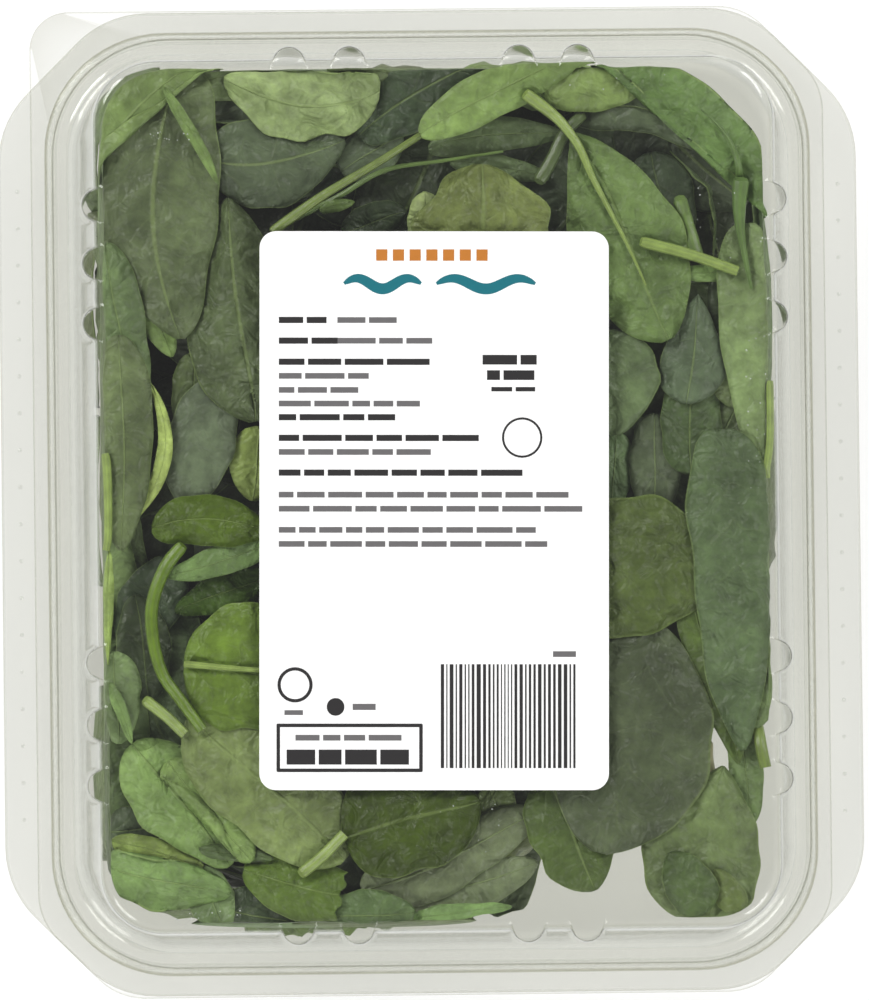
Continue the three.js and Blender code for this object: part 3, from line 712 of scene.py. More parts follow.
# Leaves seen through the panel: where each blade starts and ends, its width, its layer (0 being against
# the panel) and, if it bows, how far its middle lies to the left of that line
panelLeaves = {
    "cornerLeaf": dict(base=(-58, 99), tip=(-58, 36), width=31, bow=-5, level=0.5, tone="corner", swell=1.5,
                       rib=0.7, blunt=0.6, crumple=0.9),
    "foldStrip": dict(base=(-61, 93), tip=(-49, 71), width=3, level=0, tone="light"),
    "yellowLeaf": dict(base=(-12, 92), tip=(-47.5, 95), width=18, bow=4.5, level=0.02, tone="yellow",
                       crumple=2.4, ragged=2.6, fold=((-48, 98.5), (-11, 95))),
    "yellowFold": dict(base=(-10, 96), tip=(-24, 99), width=7, level=0.5, tone="mid", crumple=0.5),
    "topStrip": dict(base=(-58, 94), tip=(-27, 98), width=12, level=0.6, tone="mid"),
    "crescent": dict(base=(-52, 77), tip=(-20, 81), width=20, bow=-3, level=0.6, tone="dark", crumple=0.6),
    "darkUnder": dict(base=(-52, 88), tip=(-28, 69), width=24, level=1.5, tone="dark"),
    "lugLeaf": dict(base=(-17, 82), tip=(14, 101), width=16, bow=1, level=1, tone="dark"),
    "longBlade": dict(base=(-3, 82), tip=(37, 101), width=11, bow=2, level=0, tone="light", crumple=0.4),
    "smallTip": dict(base=(-26, 65), tip=(-18, 67), width=3, level=0.8, tone="light"),
    "archA": dict(base=(-1, 79), tip=(30, 82), width=8, bow=2, level=1.2, tone="deep"),
    "archB": dict(base=(4, 76), tip=(27, 72), width=6, bow=1, level=1.4, tone="mid"),
    "roundTop": dict(base=(10, 36), tip=(11, 75), width=34, level=0, tone="yellowDull", broadest=1.3,
                     ragged=2.4, crumple=0.9),
    "roundTopEdge": dict(base=(-1, 56), tip=(-2, 69), width=10, level=0.3, tone="yellow"),
    "leftTall": dict(base=(-47, 68), tip=(-41, 17), width=26, level=0.5, tone="corner", broadest=1.3,
                     crumple=0.5),
    "edgeUpper": dict(base=(-75, 58), tip=(-68, 20), width=13, level=0.4, tone="hazy", crumple=0.6),
    "edgeLower": dict(base=(-72, 37), tip=(-72, -12), width=14, level=0.2, tone="mid", crumple=0.5),
    "splitLeaf": dict(base=(-67, 53), tip=(-60, 32), width=8, level=0.8, tone="light"),
    "smallLeft": dict(base=(-55, 33), tip=(-56, 14), width=10, level=0.9, tone="mid"),
    "paleSliver": dict(base=(-65, 26), tip=(-72, -8), width=3.5, bow=6, level=0.3, tone="pale"),
    "greyLeaf": dict(base=(-50, 27), tip=(-57, -3), width=16, level=0.7, tone="greyDark", plain=True),
    "underLabelLeft": dict(base=(-40, 16), tip=(-42, -1), width=13, level=1, tone="bright"),
    "flatLeft": dict(base=(-65, -7), tip=(-38, -8), width=12, bow=2, level=0.2, tone="moss"),
    "ribLeft": dict(base=(-38, -11), tip=(-62, -18), width=7, level=0.5, tone="light"),
    "ribLeftLow": dict(base=(-38, -18), tip=(-60, -26), width=9, level=1.2, tone="mossDark"),
    "vividLeft": dict(base=(-58, -38), tip=(-28, -40), width=30, level=0.1, tone="fresh", crumple=0.5),
    "darkLeftA": dict(base=(-60, -14), tip=(-72, -34), width=14, level=1.5, tone="dark"),
    "darkLeftB": dict(base=(-66, -46), tip=(-69, -22), width=13, level=1.4, tone="dark"),
    "edgeStrip": dict(base=(-75, -12), tip=(-76, -38), width=4, level=0.1, tone="pale"),
    "lugLeft": dict(base=(-74, -35), tip=(-73, -56), width=12, level=0.3, tone="hazy"),
    "stripLeft": dict(base=(-75, -42), tip=(-70, -56), width=3, level=0, tone="light"),
    "greatLeft": dict(base=(-57, -50), tip=(-22, -83), width=26, level=0.2, tone="greyBright", broadest=1.0,
                      crumple=0.5),
    "halfA": dict(base=(-70, -56), tip=(-48, -84), width=19, level=0.35, tone="light", crumple=1.8,
                  ragged=1.4),
    "halfB": dict(base=(-62, -60), tip=(-43, -83), width=13, level=0.2, tone="light",
                  fold=((-44, -84), (-64, -62)), crumple=1.0),
    "lowStrip": dict(base=(-55, -80), tip=(-38, -82.5), width=4, level=0.25, tone="mid"),
    "cornerLow": dict(base=(-78, -83.5), tip=(-48, -90.5), width=12.5, level=0.3, tone="light", crumple=1.8,
                      ragged=1.6, fold=((-76, -80.5), (-50, -85.5))),
    "cornerFlap": dict(base=(-75, -78), tip=(-54, -84), width=6, level=0.6, tone="bright"),
    "cornerTurn": dict(base=(-55, -84), tip=(-49, -99.5), width=10, level=0.6, tone="hazy", crumple=1.2),
    "cornerDark": dict(base=(-77, -76), tip=(-63, -75), width=11, level=1.2, tone="dark"),
    "lowMid": dict(base=(-45, -85), tip=(-14, -93), width=15, level=0.4, tone="meadow", cut=0.72,
                   crumple=0.7),
    "roundLow": dict(base=(-22, -78), tip=(9, -70), width=27, level=0.1, tone="greenDark", crumple=0.4),
    "paleLow": dict(base=(-18, -90), tip=(23, -72), width=15, bow=-1, level=0.9, tone="grey"),
    "paleLowB": dict(base=(-8, -93), tip=(22, -84), width=12, level=1, tone="grey"),
    "lugLow": dict(base=(-27, -96), tip=(-6, -95), width=12, level=0.4, tone="hazy", crumple=0.8),
    "edgeLow": dict(base=(-7, -96), tip=(16, -94), width=4, level=0.4, tone="hazyBright", ragged=2.5),
    "lobeLow": dict(base=(11, -66), tip=(15, -77), width=9, level=1, tone="green"),
    "tongueLow": dict(base=(24, -64), tip=(35, -90.5), width=20, level=0.6, tone="greenDark", ragged=1.6,
                      crumple=0.6),
    "greatRight": dict(base=(50, -30), tip=(36, -82), width=36, level=0.15, tone="greatDark", broadest=1.1,
                       plain=True, crumple=0.4),
    "loneLeaf": dict(base=(64.5, -62.5), tip=(57, -98.5), width=28, level=0.5, tone="lone", broadest=1.45,
                     plain=True, crumple=1.1),
    "cornerDeepA": dict(base=(44, 92), tip=(72, 66), width=24, level=2.2, tone="shadow"),
    "cornerDeepB": dict(base=(60, 86), tip=(67, 48), width=20, level=2.6, tone="shadow"),
    "bottomFill": dict(base=(-52, -93), tip=(-30, -98), width=12, level=1.2, tone="dark"),
    "bottomFillB": dict(base=(-44, -92), tip=(-14, -97), width=14, level=1.6, tone="dark"),
    "loneFlap": dict(base=(60, -96), tip=(52, -82), width=12, level=0.3, tone="lone", plain=True),
    "loneSpur": dict(base=(68, -96), tip=(62, -86), width=7, level=0.35, tone="green", plain=True),
    "broadRight": dict(base=(64, 14), tip=(69, -59), width=20, bow=2, level=0, tone="deep", broadest=0.6,
                       plain=True, ragged=1.7, crumple=0.6),
    "tailRight": dict(base=(57, -20), tip=(68, -62), width=10, level=0.5, tone="greenDark"),
    "lugRight": dict(base=(71, -28), tip=(72, -54), width=15, level=0.05, tone="hazy", crumple=0.8),
    "stripRight": dict(base=(69, -51), tip=(71, -76), width=8, level=0.8, tone="hazy"),
    "nearLabelA": dict(base=(39, 37), tip=(41, 13), width=21, level=0.4, tone="mid", plain=True,
                       crumple=0.6),
    "nearLabelB": dict(base=(50, 18), tip=(49, -7), width=12, level=1.1, tone="dark"),
    "nearLabelC": dict(base=(58, 4), tip=(58, 31), width=14, level=0.8, tone="deep"),
    "nearLabelD": dict(base=(41, 14), tip=(40, -5), width=9, level=1.3, tone="hazy"),
    "roundRight": dict(base=(20, -19), tip=(63, -16), width=34, level=0, tone="green", broadest=1.1,
                       plain=True, crumple=0.4),
    "smallRight": dict(base=(69, 21), tip=(63, 8), width=11, level=0.9, tone="mid"),
    "edgeRight": dict(base=(71, 61), tip=(73, 0), width=13, level=0.2, tone="edgeLight", broadest=0.6,
                      plain=True),
    "midRight": dict(base=(67, 37), tip=(68, 19), width=12, level=0.7, tone="mid"),
    "topRightA": dict(base=(24, 93), tip=(53, 96.5), width=14, level=0.35, tone="midBright", plain=True,
                      crumple=0.8),
    "topRightB": dict(base=(75, 61), tip=(36, 99.5), width=16, bow=-6.5, level=0.1, tone="hazyBright",
                      rib=0.6, fold=((77, 62), (37, 99.5)), plain=True, crumple=0.6),
    "archC": dict(base=(32, 86), tip=(62, 78), width=11, bow=5, level=0.8, tone="dark"),
    "mainRight": dict(base=(32, 82), tip=(53, 34.5), width=25, bow=1, level=0, tone="midBright", rib=0.3,
                      broadest=1.35, crumple=0.7),
    "crossBase": dict(base=(70, 50), tip=(55, 50), width=4.5, level=0.2, tone="light"),
    "slimRight": dict(base=(64, 49), tip=(67, 34), width=6, level=0.9, tone="dark"),
    "ribRight": dict(base=(60, 45), tip=(57, 20), width=15, level=0.4, tone="dark", broadest=1.6),
    "deepRight": dict(base=(50, 78), tip=(55, 51), width=15, level=2, tone="dark"),
    "cornerTop": dict(base=(-80, 70), tip=(-48, 101), width=15, bow=5.5, level=0.05, tone="midBright",
                      fold=((-53, 97), (-76.5, 76.5)), crumple=0.8),
    "cornerTopB": dict(base=(-76, 84), tip=(-53, 98), width=11, level=1.2, tone="hazy"),
    "darkMid": dict(base=(-21, 74), tip=(-7, 83), width=12, level=1.2, tone="dark"),
    "darkMidB": dict(base=(-21, 60), tip=(-6, 65), width=9, level=1.6, tone="dark"),
}

# Stalks: the route of each, its radius and layer. One with a blade runs on down it as its rib.
stalkRoutes = {
    "longStalk": dict(path=[(-37, 60), (-30, 65), (-24, 69), (-12, 76), (-1, 83), (8, 88)], radius=1.3,
                      level=0, tone="bright", end=0.5),
    "secondStalk": dict(path=[(-34, 62), (-22, 68), (-11, 74), (2, 76), (16, 78)], radius=0.8, level=0.8,
                        tone="light", end=0.4),
    "bigStalk": dict(path=[(-58, -11), (-62, -16), (-65, -24), (-65, -32), (-63, -40), (-59, -46),
                           (-54, -53)],
                     radius=1.6, level=0, tone="vivid", end=0.8),
    "edgeStalk": dict(path=[(-76, 10), (-75, 2), (-75, -7), (-76, -12)], radius=1.1, level=0, tone="pale",
                      end=0.8),
    "stubLeft": dict(path=[(-67, -46), (-62, -50), (-58, -54)], radius=1.35, level=-0.1, tone="pale",
                     end=0.9),
    "stubLow": dict(path=[(-32, -86), (-27, -82), (-22, -77)], radius=1.4, level=0, tone="pale", end=0.9),
    "stubRight": dict(path=[(72, -51), (73, -58), (74, -63)], radius=1.5, level=0.3, tone="bright",
                      end=0.9),
    "stubPink": dict(path=[(61, -57), (61, -61), (62, -66)], radius=1.4, level=1, tone="straw", end=1.0),
    "edgeStalkRight": dict(path=[(77, 25), (77, 14), (76, 3)], radius=0.9, level=0, tone="pale", end=1.0),
    "neckRight": dict(path=[(70, 71), (69.5, 64), (70, 57), (72, 46)], radius=2.1, level=0,
                      tone="hazyBright", end=0.15),
    "mainStalk": dict(path=[(21, 91), (25, 88), (29, 84.5), (33, 79), (36, 72), (39, 66), (44, 56), (48, 47)],
                      radius=1.6, level=-0.05, tone="pale", end=0.12),
    "stubTop": dict(path=[(24, 71), (27, 76), (30, 82), (34, 86)], radius=1.6, level=0.5, tone="mid",
                    end=0.8),
    "crossStalk": dict(path=[(47, 57), (58, 54), (69, 50)], radius=1.35, level=-0.1, tone="pale", end=0.9),
    "stubUp": dict(path=[(56, 67), (58, 60), (60, 53)], radius=1.7, level=0.6, tone="light", end=1.0),
    "vividRib": dict(path=[(-58, -38), (-48, -39), (-36, -40)], radius=0.9, level=0.05, tone="pale",
                     end=0.5),
    "cornerRib": dict(path=[(70, 70), (69, 76), (66, 82), (61, 87)], radius=1.0, level=0.02,
                      tone="hazyBright", end=0.2),
}

# Plan of the heap, clear of the corners that the leaves leave empty
heapPlan = ((72, 10), (72, 64), (64, 80), (50, 91), (10, 94), (-30, 94), (-62, 91), (-72, 74),
            (-72.5, 10), (-72.5, -60), (-66, -80), (-45, -92), (-10, -93), (15, -88), (36, -70),
            (58, -50), (72, -34))


def insideHeap(x, y):
    inside = False
    previous = heapPlan[-1]
    for corner in heapPlan:
        (x1, y1), (x2, y2) = previous, corner
        if (y1 > y) != (y2 > y) and x < (x2 - x1) * (y - y1) / (y2 - y1) + x1:
            inside = not inside
        previous = corner
    return inside


# A bed is one inner face of the tub, with a map of how far out the next leaf may lie. Leaves are laid
# from the plastic inwards, so each stays under the ones already there.
class Bed:
    cell = 0.6
    margin = 12

    def __init__(self, halfA, halfB, place):
        self.halfA, self.halfB, self.place = halfA + self.margin, halfB + self.margin, place
        shape = (int(2 * self.halfA / self.cell) + 1, int(2 * self.halfB / self.cell) + 1)
        self.roof = np.full(shape, -0.25)

    def index(self, a, b):
        i = np.clip(np.rint((a + self.halfA) / self.cell).astype(int), 1, self.roof.shape[0] - 2)
        j = np.clip(np.rint((b + self.halfB) / self.cell).astype(int), 1, self.roof.shape[1] - 2)
        return i, j

    def read(self, a, b):
        i, j = self.index(a, b)
        around = [self.roof[i + di, j + dj] for di in (-1, 0, 1) for dj in (-1, 0, 1)]
        return np.min(around, axis=0)

    def cover(self, a, b, h):
        i, j = self.index(a, b)
        np.minimum.at(self.roof, (i, j), h)


def refine(grid, times):
    rows = np.linspace(0, grid.shape[0] - 1, grid.shape[0] * times)
    columns = np.linspace(0, grid.shape[1] - 1, grid.shape[1] * times)
    low = np.minimum(rows.astype(int), grid.shape[0] - 2)
    part = (rows - low)[:, None]
    tall = grid[low] * (1 - part) + grid[low + 1] * part
    low = np.minimum(columns.astype(int), grid.shape[1] - 2)
    part = (columns - low)[None, :]
    return tall[:, low] * (1 - part) + tall[:, low + 1] * part


def soften(drop, passes):
    for _ in range(passes):
        wide = np.pad(drop, 1, mode="edge")
        blur = (wide[:-2, 1:-1] + wide[2:, 1:-1] + wide[1:-1, :-2] + wide[1:-1, 2:]) / 4
        drop = np.maximum(drop, blur * 0.97)
    return drop


class LeafPile:
    def __init__(self):
        self.points, self.faces, self.uvs, self.tints, self.veins = [], [], [], [], []
        self.count = 0

    def addSheet(self, top, under, u, v, tint, veins):
        rows, columns = u.shape
        size = rows * columns
        self.points += [top.reshape(-1, 3), under.reshape(-1, 3)]
        at = np.arange(size).reshape(rows, columns) + self.count
        a, b, c, d = at[:-1, :-1], at[1:, :-1], at[1:, 1:], at[:-1, 1:]
        upper = np.stack([a, b, c, d], -1).reshape(-1, 4)
        self.faces += [upper, upper[:, ::-1] + size]
        ring = np.concatenate([at[:, 0], at[-1, 1:], at[-2::-1, -1], at[0, -2:0:-1]])
        after = np.roll(ring, -1)
        self.faces.append(np.stack([ring, ring + size, after + size, after], -1))
        coordinates = np.stack([u.ravel(), v.ravel() * 0.5 + 0.5], -1)
        self.uvs += [coordinates, coordinates]
        self.tints += [tint.reshape(-1, 4)] * 2
        self.veins += [veins.ravel() + 100] * 2
        self.count += 2 * size

    def build(self, name, material, *nodes):
        mesh = meshFrom(name, np.concatenate(self.points), np.concatenate(self.faces).tolist())
        corners = np.empty(len(mesh.loops), int)
        mesh.loops.foreach_get("vertex_index", corners)
        layer = mesh.uv_layers.new(name="blade")
        layer.data.foreach_set("uv", np.concatenate(self.uvs)[corners].ravel())
        colour = mesh.color_attributes.new("leafTint", "FLOAT_COLOR", "POINT")
        colour.data.foreach_set("color", np.concatenate(self.tints).ravel())
        veins = mesh.attributes.new("veinCount", "FLOAT", "POINT")
        veins.data.foreach_set("value", np.concatenate(self.veins))
        addPiece(name, mesh, material, "leaf", *nodes)
        print(name, "made,", len(mesh.polygons), "faces")


def foldOver(a, b, line):
    # what lies to the left of the line is turned back over the rest: new places, lift and direction
    (x1, y1), (x2, y2) = line
    length = math.hypot(x2 - x1, y2 - y1)
    across = np.array([y1 - y2, x2 - x1]) / length
    curl = leafShape["curl"]
    past = np.maximum((a - x1) * across[0] + (b - y1) * across[1], 0)
    turn = np.minimum(past / curl, math.pi)
    shift = curl * np.sin(turn) - np.maximum(past - math.pi * curl, 0) - past
    return a + shift * across[0], b + shift * across[1], -curl * (1 + np.cos(turn)), across


def bladeGrid(leaf, length, spacing):
    # shares of the way from stalk to tip, even in t and closer at the ends in u, and from edge to edge
    rows = int(min(max(length / spacing, 12), 56))
    columns = int(min(max(leaf["width"] / spacing, 7), 33)) // 2 * 2 + 1
    t = np.linspace(0, 1, rows)[:, None]
    u = (0.55 * t + 0.45 * (1 - np.cos(math.pi * t)) / 2) * np.ones(columns)
    return t, u * leaf.get("cut", 1), np.ones(rows)[:, None] * np.linspace(-1, 1, columns)


def bladePlan(leaf, length, t, u, v, phase):
    base, tip = np.array(leaf["base"], float), np.array(leaf["tip"], float)
    run = tip - base
    side = np.array([-run[1], run[0]]) / length
    outline = np.sin(np.pi * np.clip(u, 0.004, 0.996) ** leaf.get("broadest", leafShape["broadest"]))
    outline = outline ** leaf.get("blunt", leafShape["blunt"])
    ragged = leafShape["ragged"] * leaf.get("ragged", 1)
    edges = [1 + ragged * (np.sin(4.6 * u + phase[k]) + 0.7 * np.sin(10.5 * u + phase[k + 2])
                           + 0.4 * np.sin(23 * u + phase[k + 4])) for k in (0, 1)]
    half = leaf["width"] / 2 * outline * (edges[0] * (1 + v) + edges[1] * (1 - v)) / 2
    bowed = leaf.get("bow", 0) * 4 * u * (1 - u) + 0.02 * length * np.sin(3 * u + phase[2]) * (1 - u) * u * 4
    along = u + (0.02 * np.sin(9 * v + phase[3]) * t ** 6 if "cut" in leaf else 0)
    return [base[k] + run[k] * along + side[k] * (bowed + v * half) for k in (0, 1)]


def bladeRelief(leaf, veins, a, b, u, v, phase):
    reach = np.abs(v)
    flutter = (np.sin(9 * u + phase[6] + 2.2 * v) + 0.6 * np.sin(19 * u + phase[7] - 2 * v)) * reach ** 2
    swell = np.sin(5 * u + phase[8] + 1.5 * v) + 0.8 * np.sin(2.6 * v + phase[9] - 4 * u)
    quilt = np.abs(np.cos(math.pi * veins)) ** 0.7 * (1 - reach ** 2)
    pucker = np.zeros(u.shape)
    for k in range(6):
        heading, wave = phase[12 + k], 2 * math.pi / (5.5 + 1.6 * k)
        pucker += np.sin((a * math.cos(heading) + b * math.sin(heading)) * wave + phase[k]
                         + 1.3 * np.sin((a * math.sin(heading) - b * math.cos(heading)) * wave * 0.6))
    relief = leafShape["flutter"] * flutter + leafShape["quilt"] * quilt
    return relief + leafShape["swell"] * leaf.get("swell", 1) * swell + leafShape["pucker"] * pucker


def bladeCreases(leaf, a, b, u, v, phase):
    # sharp ridges of a crumpled leaf, and its middle rib
    creases = leaf.get("rib", -0.45) * np.exp(-(v * leaf["width"] / 2 / 0.8) ** 2) * (1 - u) ** 0.4
    for k in range(3):
        heading = phase[9 + k]
        ridge = np.abs(np.sin((a * math.cos(heading) + b * math.sin(heading)) / 4.2 + phase[k]))
        creases += leaf.get("crumple", 0) * (ridge - 0.9) * 0.8
    return creases


def bladeTints(leaf, u, v, paler, phase, draw):
    warm = draw.uniform(-1, 1)
    tint = np.array(leafTints[leaf["tone"]]) * np.array([1 + 0.05 * warm, 1, 1 - 0.05 * warm, 1])
    tints = np.ones(u.shape + (4,)) * (tint * draw.uniform(0.96, 1.04))
    shade = 1 + 0.14 * np.sin(3.6 * u + phase[4]) * np.cos(2.3 * v + phase[5])
    tints[..., :3] = tints[..., :3] * shade[..., None] * (1 + 0.3 * paler) + 0.02 * paler
    return tints


def layLeaf(pile, bed, leaf, draw, spacing):
    length = math.dist(leaf["base"], leaf["tip"])
    t, u, v = bladeGrid(leaf, length, spacing)
    phase = [draw.uniform(0, 6.28) for _ in range(18)]
    own = phase[11]           # its own measure of relief, thickness and paleness, a different one for each
    a, b = bladePlan(leaf, length, t, u, v, phase)
    lift, across = 0, (0, 0)
    if "fold" in leaf:
        a, b, lift, across = foldOver(a, b, leaf["fold"])

    reach = np.abs(v)
    away = reach * leaf["width"] / 2
    veins = (length * u - leafLook["veinSlope"] * away ** 0.85) / leafLook["veinPitch"] + phase[10]
    rise = min(1.0, leaf["width"] / 22)
    cup = leaf.get("cup", 1.6) * rise * reach ** 2.2
    lean = leaf.get("baseDip", 0.8) * (1 - u) ** 3 + leaf.get("tipDip", 0.8) * u ** 3
    depth = leafShape["depthStep"] * max(leaf["level"], 0) ** 1.25
    waves = rise * bladeRelief(leaf, veins, a, b, u, v, phase) * (1 - 0.7 * own / math.pi)
    wish = -0.6 - depth + waves + bladeCreases(leaf, a, b, u, v, phase) - cup - lean + lift
    room = bed.read(a, b) - leafShape["gap"]
    height = wish - soften(np.maximum(0, wish - room), 10)
    side, under = leafShape["thick"] * math.sin(own), height - leafShape["thick"] * math.cos(own)
    bed.cover(refine(a, 4), refine(b, 4), refine(np.minimum(under, height), 4))

    tints = bladeTints(leaf, u, v, min(max(own - 1.0, 0), 1), phase, draw)
    top = bed.place(a, b, height)
    beneath = bed.place(a - side * across[0], b - side * across[1], under)
    pile.addSheet(top, beneath, u, 0.3 + 0.7 * reach if leaf.get("plain") else v, tints, veins)


def rollOver(a, b, h, size, bend, slope):
    # towards the rounded outline a leaf turns round a bend and runs on along the wall: place, and fall
    # from the level of the face
    halfX, halfY, radius = size
    pastX, pastY = np.abs(a) - (halfX - radius), np.abs(b) - (halfY - radius)
    corner = (pastX > 0) & (pastY > 0)
    reach = np.where(corner, np.hypot(pastX, pastY), np.maximum(pastX, pastY))
    awayX = np.where(corner, pastX / np.maximum(reach, 1e-6), pastX > pastY)
    awayY = np.where(corner, pastY / np.maximum(reach, 1e-6), pastX <= pastY)
    over = np.maximum(reach - (radius - bend), 0)
    turn = np.clip(over / bend, 0, 1.45)
    beyond = np.maximum(over - 1.45 * bend, 0)
    depth = np.maximum(h * (1 - 0.65 * np.sin(turn)), -bend * 0.85)
    shift = (bend + depth) * np.sin(turn) + slope * beyond - over
    fall = np.where(over > 0, (bend + depth) * (1 - np.cos(turn)) + beyond, 0)
    return a + np.sign(a) * awayX * shift, b + np.sign(b) * awayY * shift, fall


def panelPlace(a, b, h):
    inset = tub["sheet"] + 0.2
    size = (tub["panel"][0] - inset, tub["panel"][1] - inset, tub["panel"][2])
    x, y, fall = rollOver(a, b, h, size, 1.8, 0.1)
    return np.stack([x, y, tub["panelTop"] - tub["sheet"] + h - fall], -1)


def lidPlace(a, b, h):
    x, y, rise = rollOver(a, b, h, hidden["dish"], 6.0, 0.25)
    return np.stack([x, -y, lid["sheet"] - h + rise], -1)


def wallPlace(index):
    signs = ((1, 0), (0, 1), (-1, 0), (0, -1))[index]

    def place(a, b, h):
        halfX, halfY, radius = wallAt(b)
        out, across = (halfX, halfY) if signs[0] else (halfY, halfX)
        flat = across - radius
        over = np.maximum(np.abs(a) - flat, 0)
        turn = np.minimum(over / radius, 1.5)
        along = np.sign(a) * (np.minimum(np.abs(a), flat) + (radius + h) * np.sin(turn))
        outward = out - radius + (radius + h - tub["sheet"]) * np.cos(turn)
        if signs[0]:
            return np.stack([signs[0] * outward, signs[0] * along, b], -1)
        return np.stack([-signs[1] * along, signs[1] * outward, b], -1)
    return place


def heapSide():
    # the plan as one route, how far along it each point lies, and which way is out
    route = smoothRoute([*heapPlan, heapPlan[0]], 6)
    run = np.concatenate([[0], np.cumsum(np.hypot(*np.diff(route, axis=0).T))])
    heading = np.gradient(route, axis=0)
    heading /= np.maximum(np.hypot(heading[:, 0], heading[:, 1]), 1e-6)[:, None]
    return route, run - run[-1] / 2, heading


def heapPlace(a, b, h):
    route, run, heading = heapSide()
    x, y, alongX, alongY = (np.interp(a, run, values) for values in (*route.T, *heading.T))
    return np.stack([x + alongY * h, y - alongX * h, b + 0 * a], -1)


# Leaves that no row above gives: under those, along the panel's edges, and at the walls and the lid
hidden = {
    "fillCount": 120,
    "fillDepth": (6.0, 26.0),
    "wallRows": 3,
    "wallPitch": 21.0,
    "lidPitch": 18.0,
    "dish": (80.0, 101.0, 20.0),            # half sizes and corner radius of what they lie in at the lid
    "leafLength": (38.0, 52.0),
    "leafWidth": (24.0, 33.0),
    "edgeRuns": (((-79, -74), (-79, 80)), ((-68, 101), (40, 101)), ((79, 60), (79, -34)),
                 ((-2, -102), (-46, -102))),
    "edgePitch": 19.0,
    "edgeDepth": (5.0, 9.0),
    "edgeWidth": 26.0,
    "cornerSpots": ((72, 50), (68, 74), (56, 88), (42, 92), (-64, -80), (-54, -88), (-36, -93), (5, -90),
                    (18, -86), (30, -75), (46, -61), (60, -48), (71, -34), (-68, 84)),
    "cornerRows": (24.0, 37.0, 50.0),       # heights above the lid's foot
    "outerTones": ("mid", "light", "hazy", "grey", "green"),
    # painted shade: leaves deep in the heap take these darker tones
    "innerShadeTones": ("deep", "dark"),
}


def hiddenLeaf(draw, a, b, depth, turn, tones):
    length = draw.uniform(*hidden["leafLength"])
    run = Vector((math.cos(turn), math.sin(turn))) * length / 2
    return dict(base=(a - run.x, b - run.y), tip=(a + run.x, b + run.y),
                width=draw.uniform(*hidden["leafWidth"]), bow=draw.uniform(-4, 4),
                level=(depth / leafShape["depthStep"]) ** 0.8, tone=draw.choice(tones),
                cup=draw.uniform(1, 3), baseDip=draw.uniform(0, 4), tipDip=draw.uniform(0, 3))


def keepWithin(leaf, low, high, widest):
    for end in ("base", "tip"):
        leaf[end] = (leaf[end][0], min(max(leaf[end][1], low), high))
    leaf["width"] = min(leaf["width"], widest)


def layPanelLeaves(leafSkin):
    pile, stalks = LeafPile(), []
    bed = Bed(tub["panel"][0] + 8, tub["panel"][1] + 8, panelPlace)
    draw = random.Random(11)
    for item in sorted([*panelLeaves.values(), *stalkRoutes.values()], key=lambda item: item["level"]):
        if "path" in item:
            stalks.append(layStalk(bed, item))
        else:
            layLeaf(pile, bed, item, draw, 1.2)
    pile.build("panelLeaves", leafSkin, "spinach")
    fill = LeafPile()
    for (x1, y1), (x2, y2) in hidden["edgeRuns"]:
        span = math.hypot(x2 - x1, y2 - y1)
        count = int(span / hidden["edgePitch"])
        heading = math.atan2(y2 - y1, x2 - x1)
        for number in range(count):
            share = (number + 0.5) / count
            leaf = hiddenLeaf(draw, x1 + (x2 - x1) * share, y1 + (y2 - y1) * share,
                              draw.uniform(*hidden["edgeDepth"]), heading + draw.uniform(-0.3, 0.3),
                              ("deep", "mid", "hazy"))
            layLeaf(fill, bed, dict(leaf, width=hidden["edgeWidth"], bow=0, baseDip=2), draw, 2.6)
    shallow, deep = hidden["fillDepth"]
    for number in range(hidden["fillCount"]):
        depth = shallow + (deep - shallow) * (number / hidden["fillCount"]) ** 0.8
        for _ in range(30):
            x, y = draw.uniform(-66, 66), draw.uniform(-88, 88)
            turn = draw.uniform(0, 2 * math.pi)
            ends = [(x + 22 * k * math.cos(turn), y + 22 * k * math.sin(turn)) for k in (-1, 1)]
            if all(insideHeap(*end) for end in ends):
                break
        # painted shade: deeper fill leaves take darker tones
        tones = ("deep", "dark", "dark", "shadow") if depth < 12 else ("shadow",)
        layLeaf(fill, bed, hiddenLeaf(draw, x, y, depth, turn, tones), draw, 2.8)
    fill.build("deepLeaves", leafSkin)
    return stalks


def layWallLeaves(leafSkin):
    pile = LeafPile()
    draw = random.Random(23)
    for index in range(4):
        half = tub["panel"][1] if index % 2 == 0 else tub["panel"][0]
        place = wallPlace(index)
        bed = Bed(half + 10, 80, place)
        spots = []
        columns = int(2 * half / hidden["wallPitch"])
        for column in range(columns):
            for row in range(hidden["wallRows"]):
                a = -half + (column + 0.5) * 2 * half / columns + draw.uniform(-6, 6)
                b = 24 + row * 13 + draw.uniform(-4, 4)
                spots.append((a, b, draw.uniform(0, 1)))
        draw.shuffle(spots)
        for order, (a, b, _) in enumerate(spots):
            ends = [place(np.array(a + reach), np.array(b), np.array(-12.0)) for reach in (-27, 0, 27)]
            if not all(insideHeap(end[0] * 0.94, end[1] * 0.94) for end in ends):
                continue
            share = order / len(spots)
            tilt = draw.choice((0, math.pi)) + draw.uniform(-0.5, 0.5)
            # painted shade: wall leaves laid later lie deeper and take darker tones
            tones = hidden["outerTones"] if share < 0.5 else (*hidden["innerShadeTones"], "mid")
            leaf = hiddenLeaf(draw, a, b, 0.5 + 11 * share, tilt, tones)
            keepWithin(leaf, 20, 56, 26)
            layLeaf(pile, bed, leaf, draw, 2.2)
    layCornerLeaves(pile)
    pile.build("wallLeaves", leafSkin)


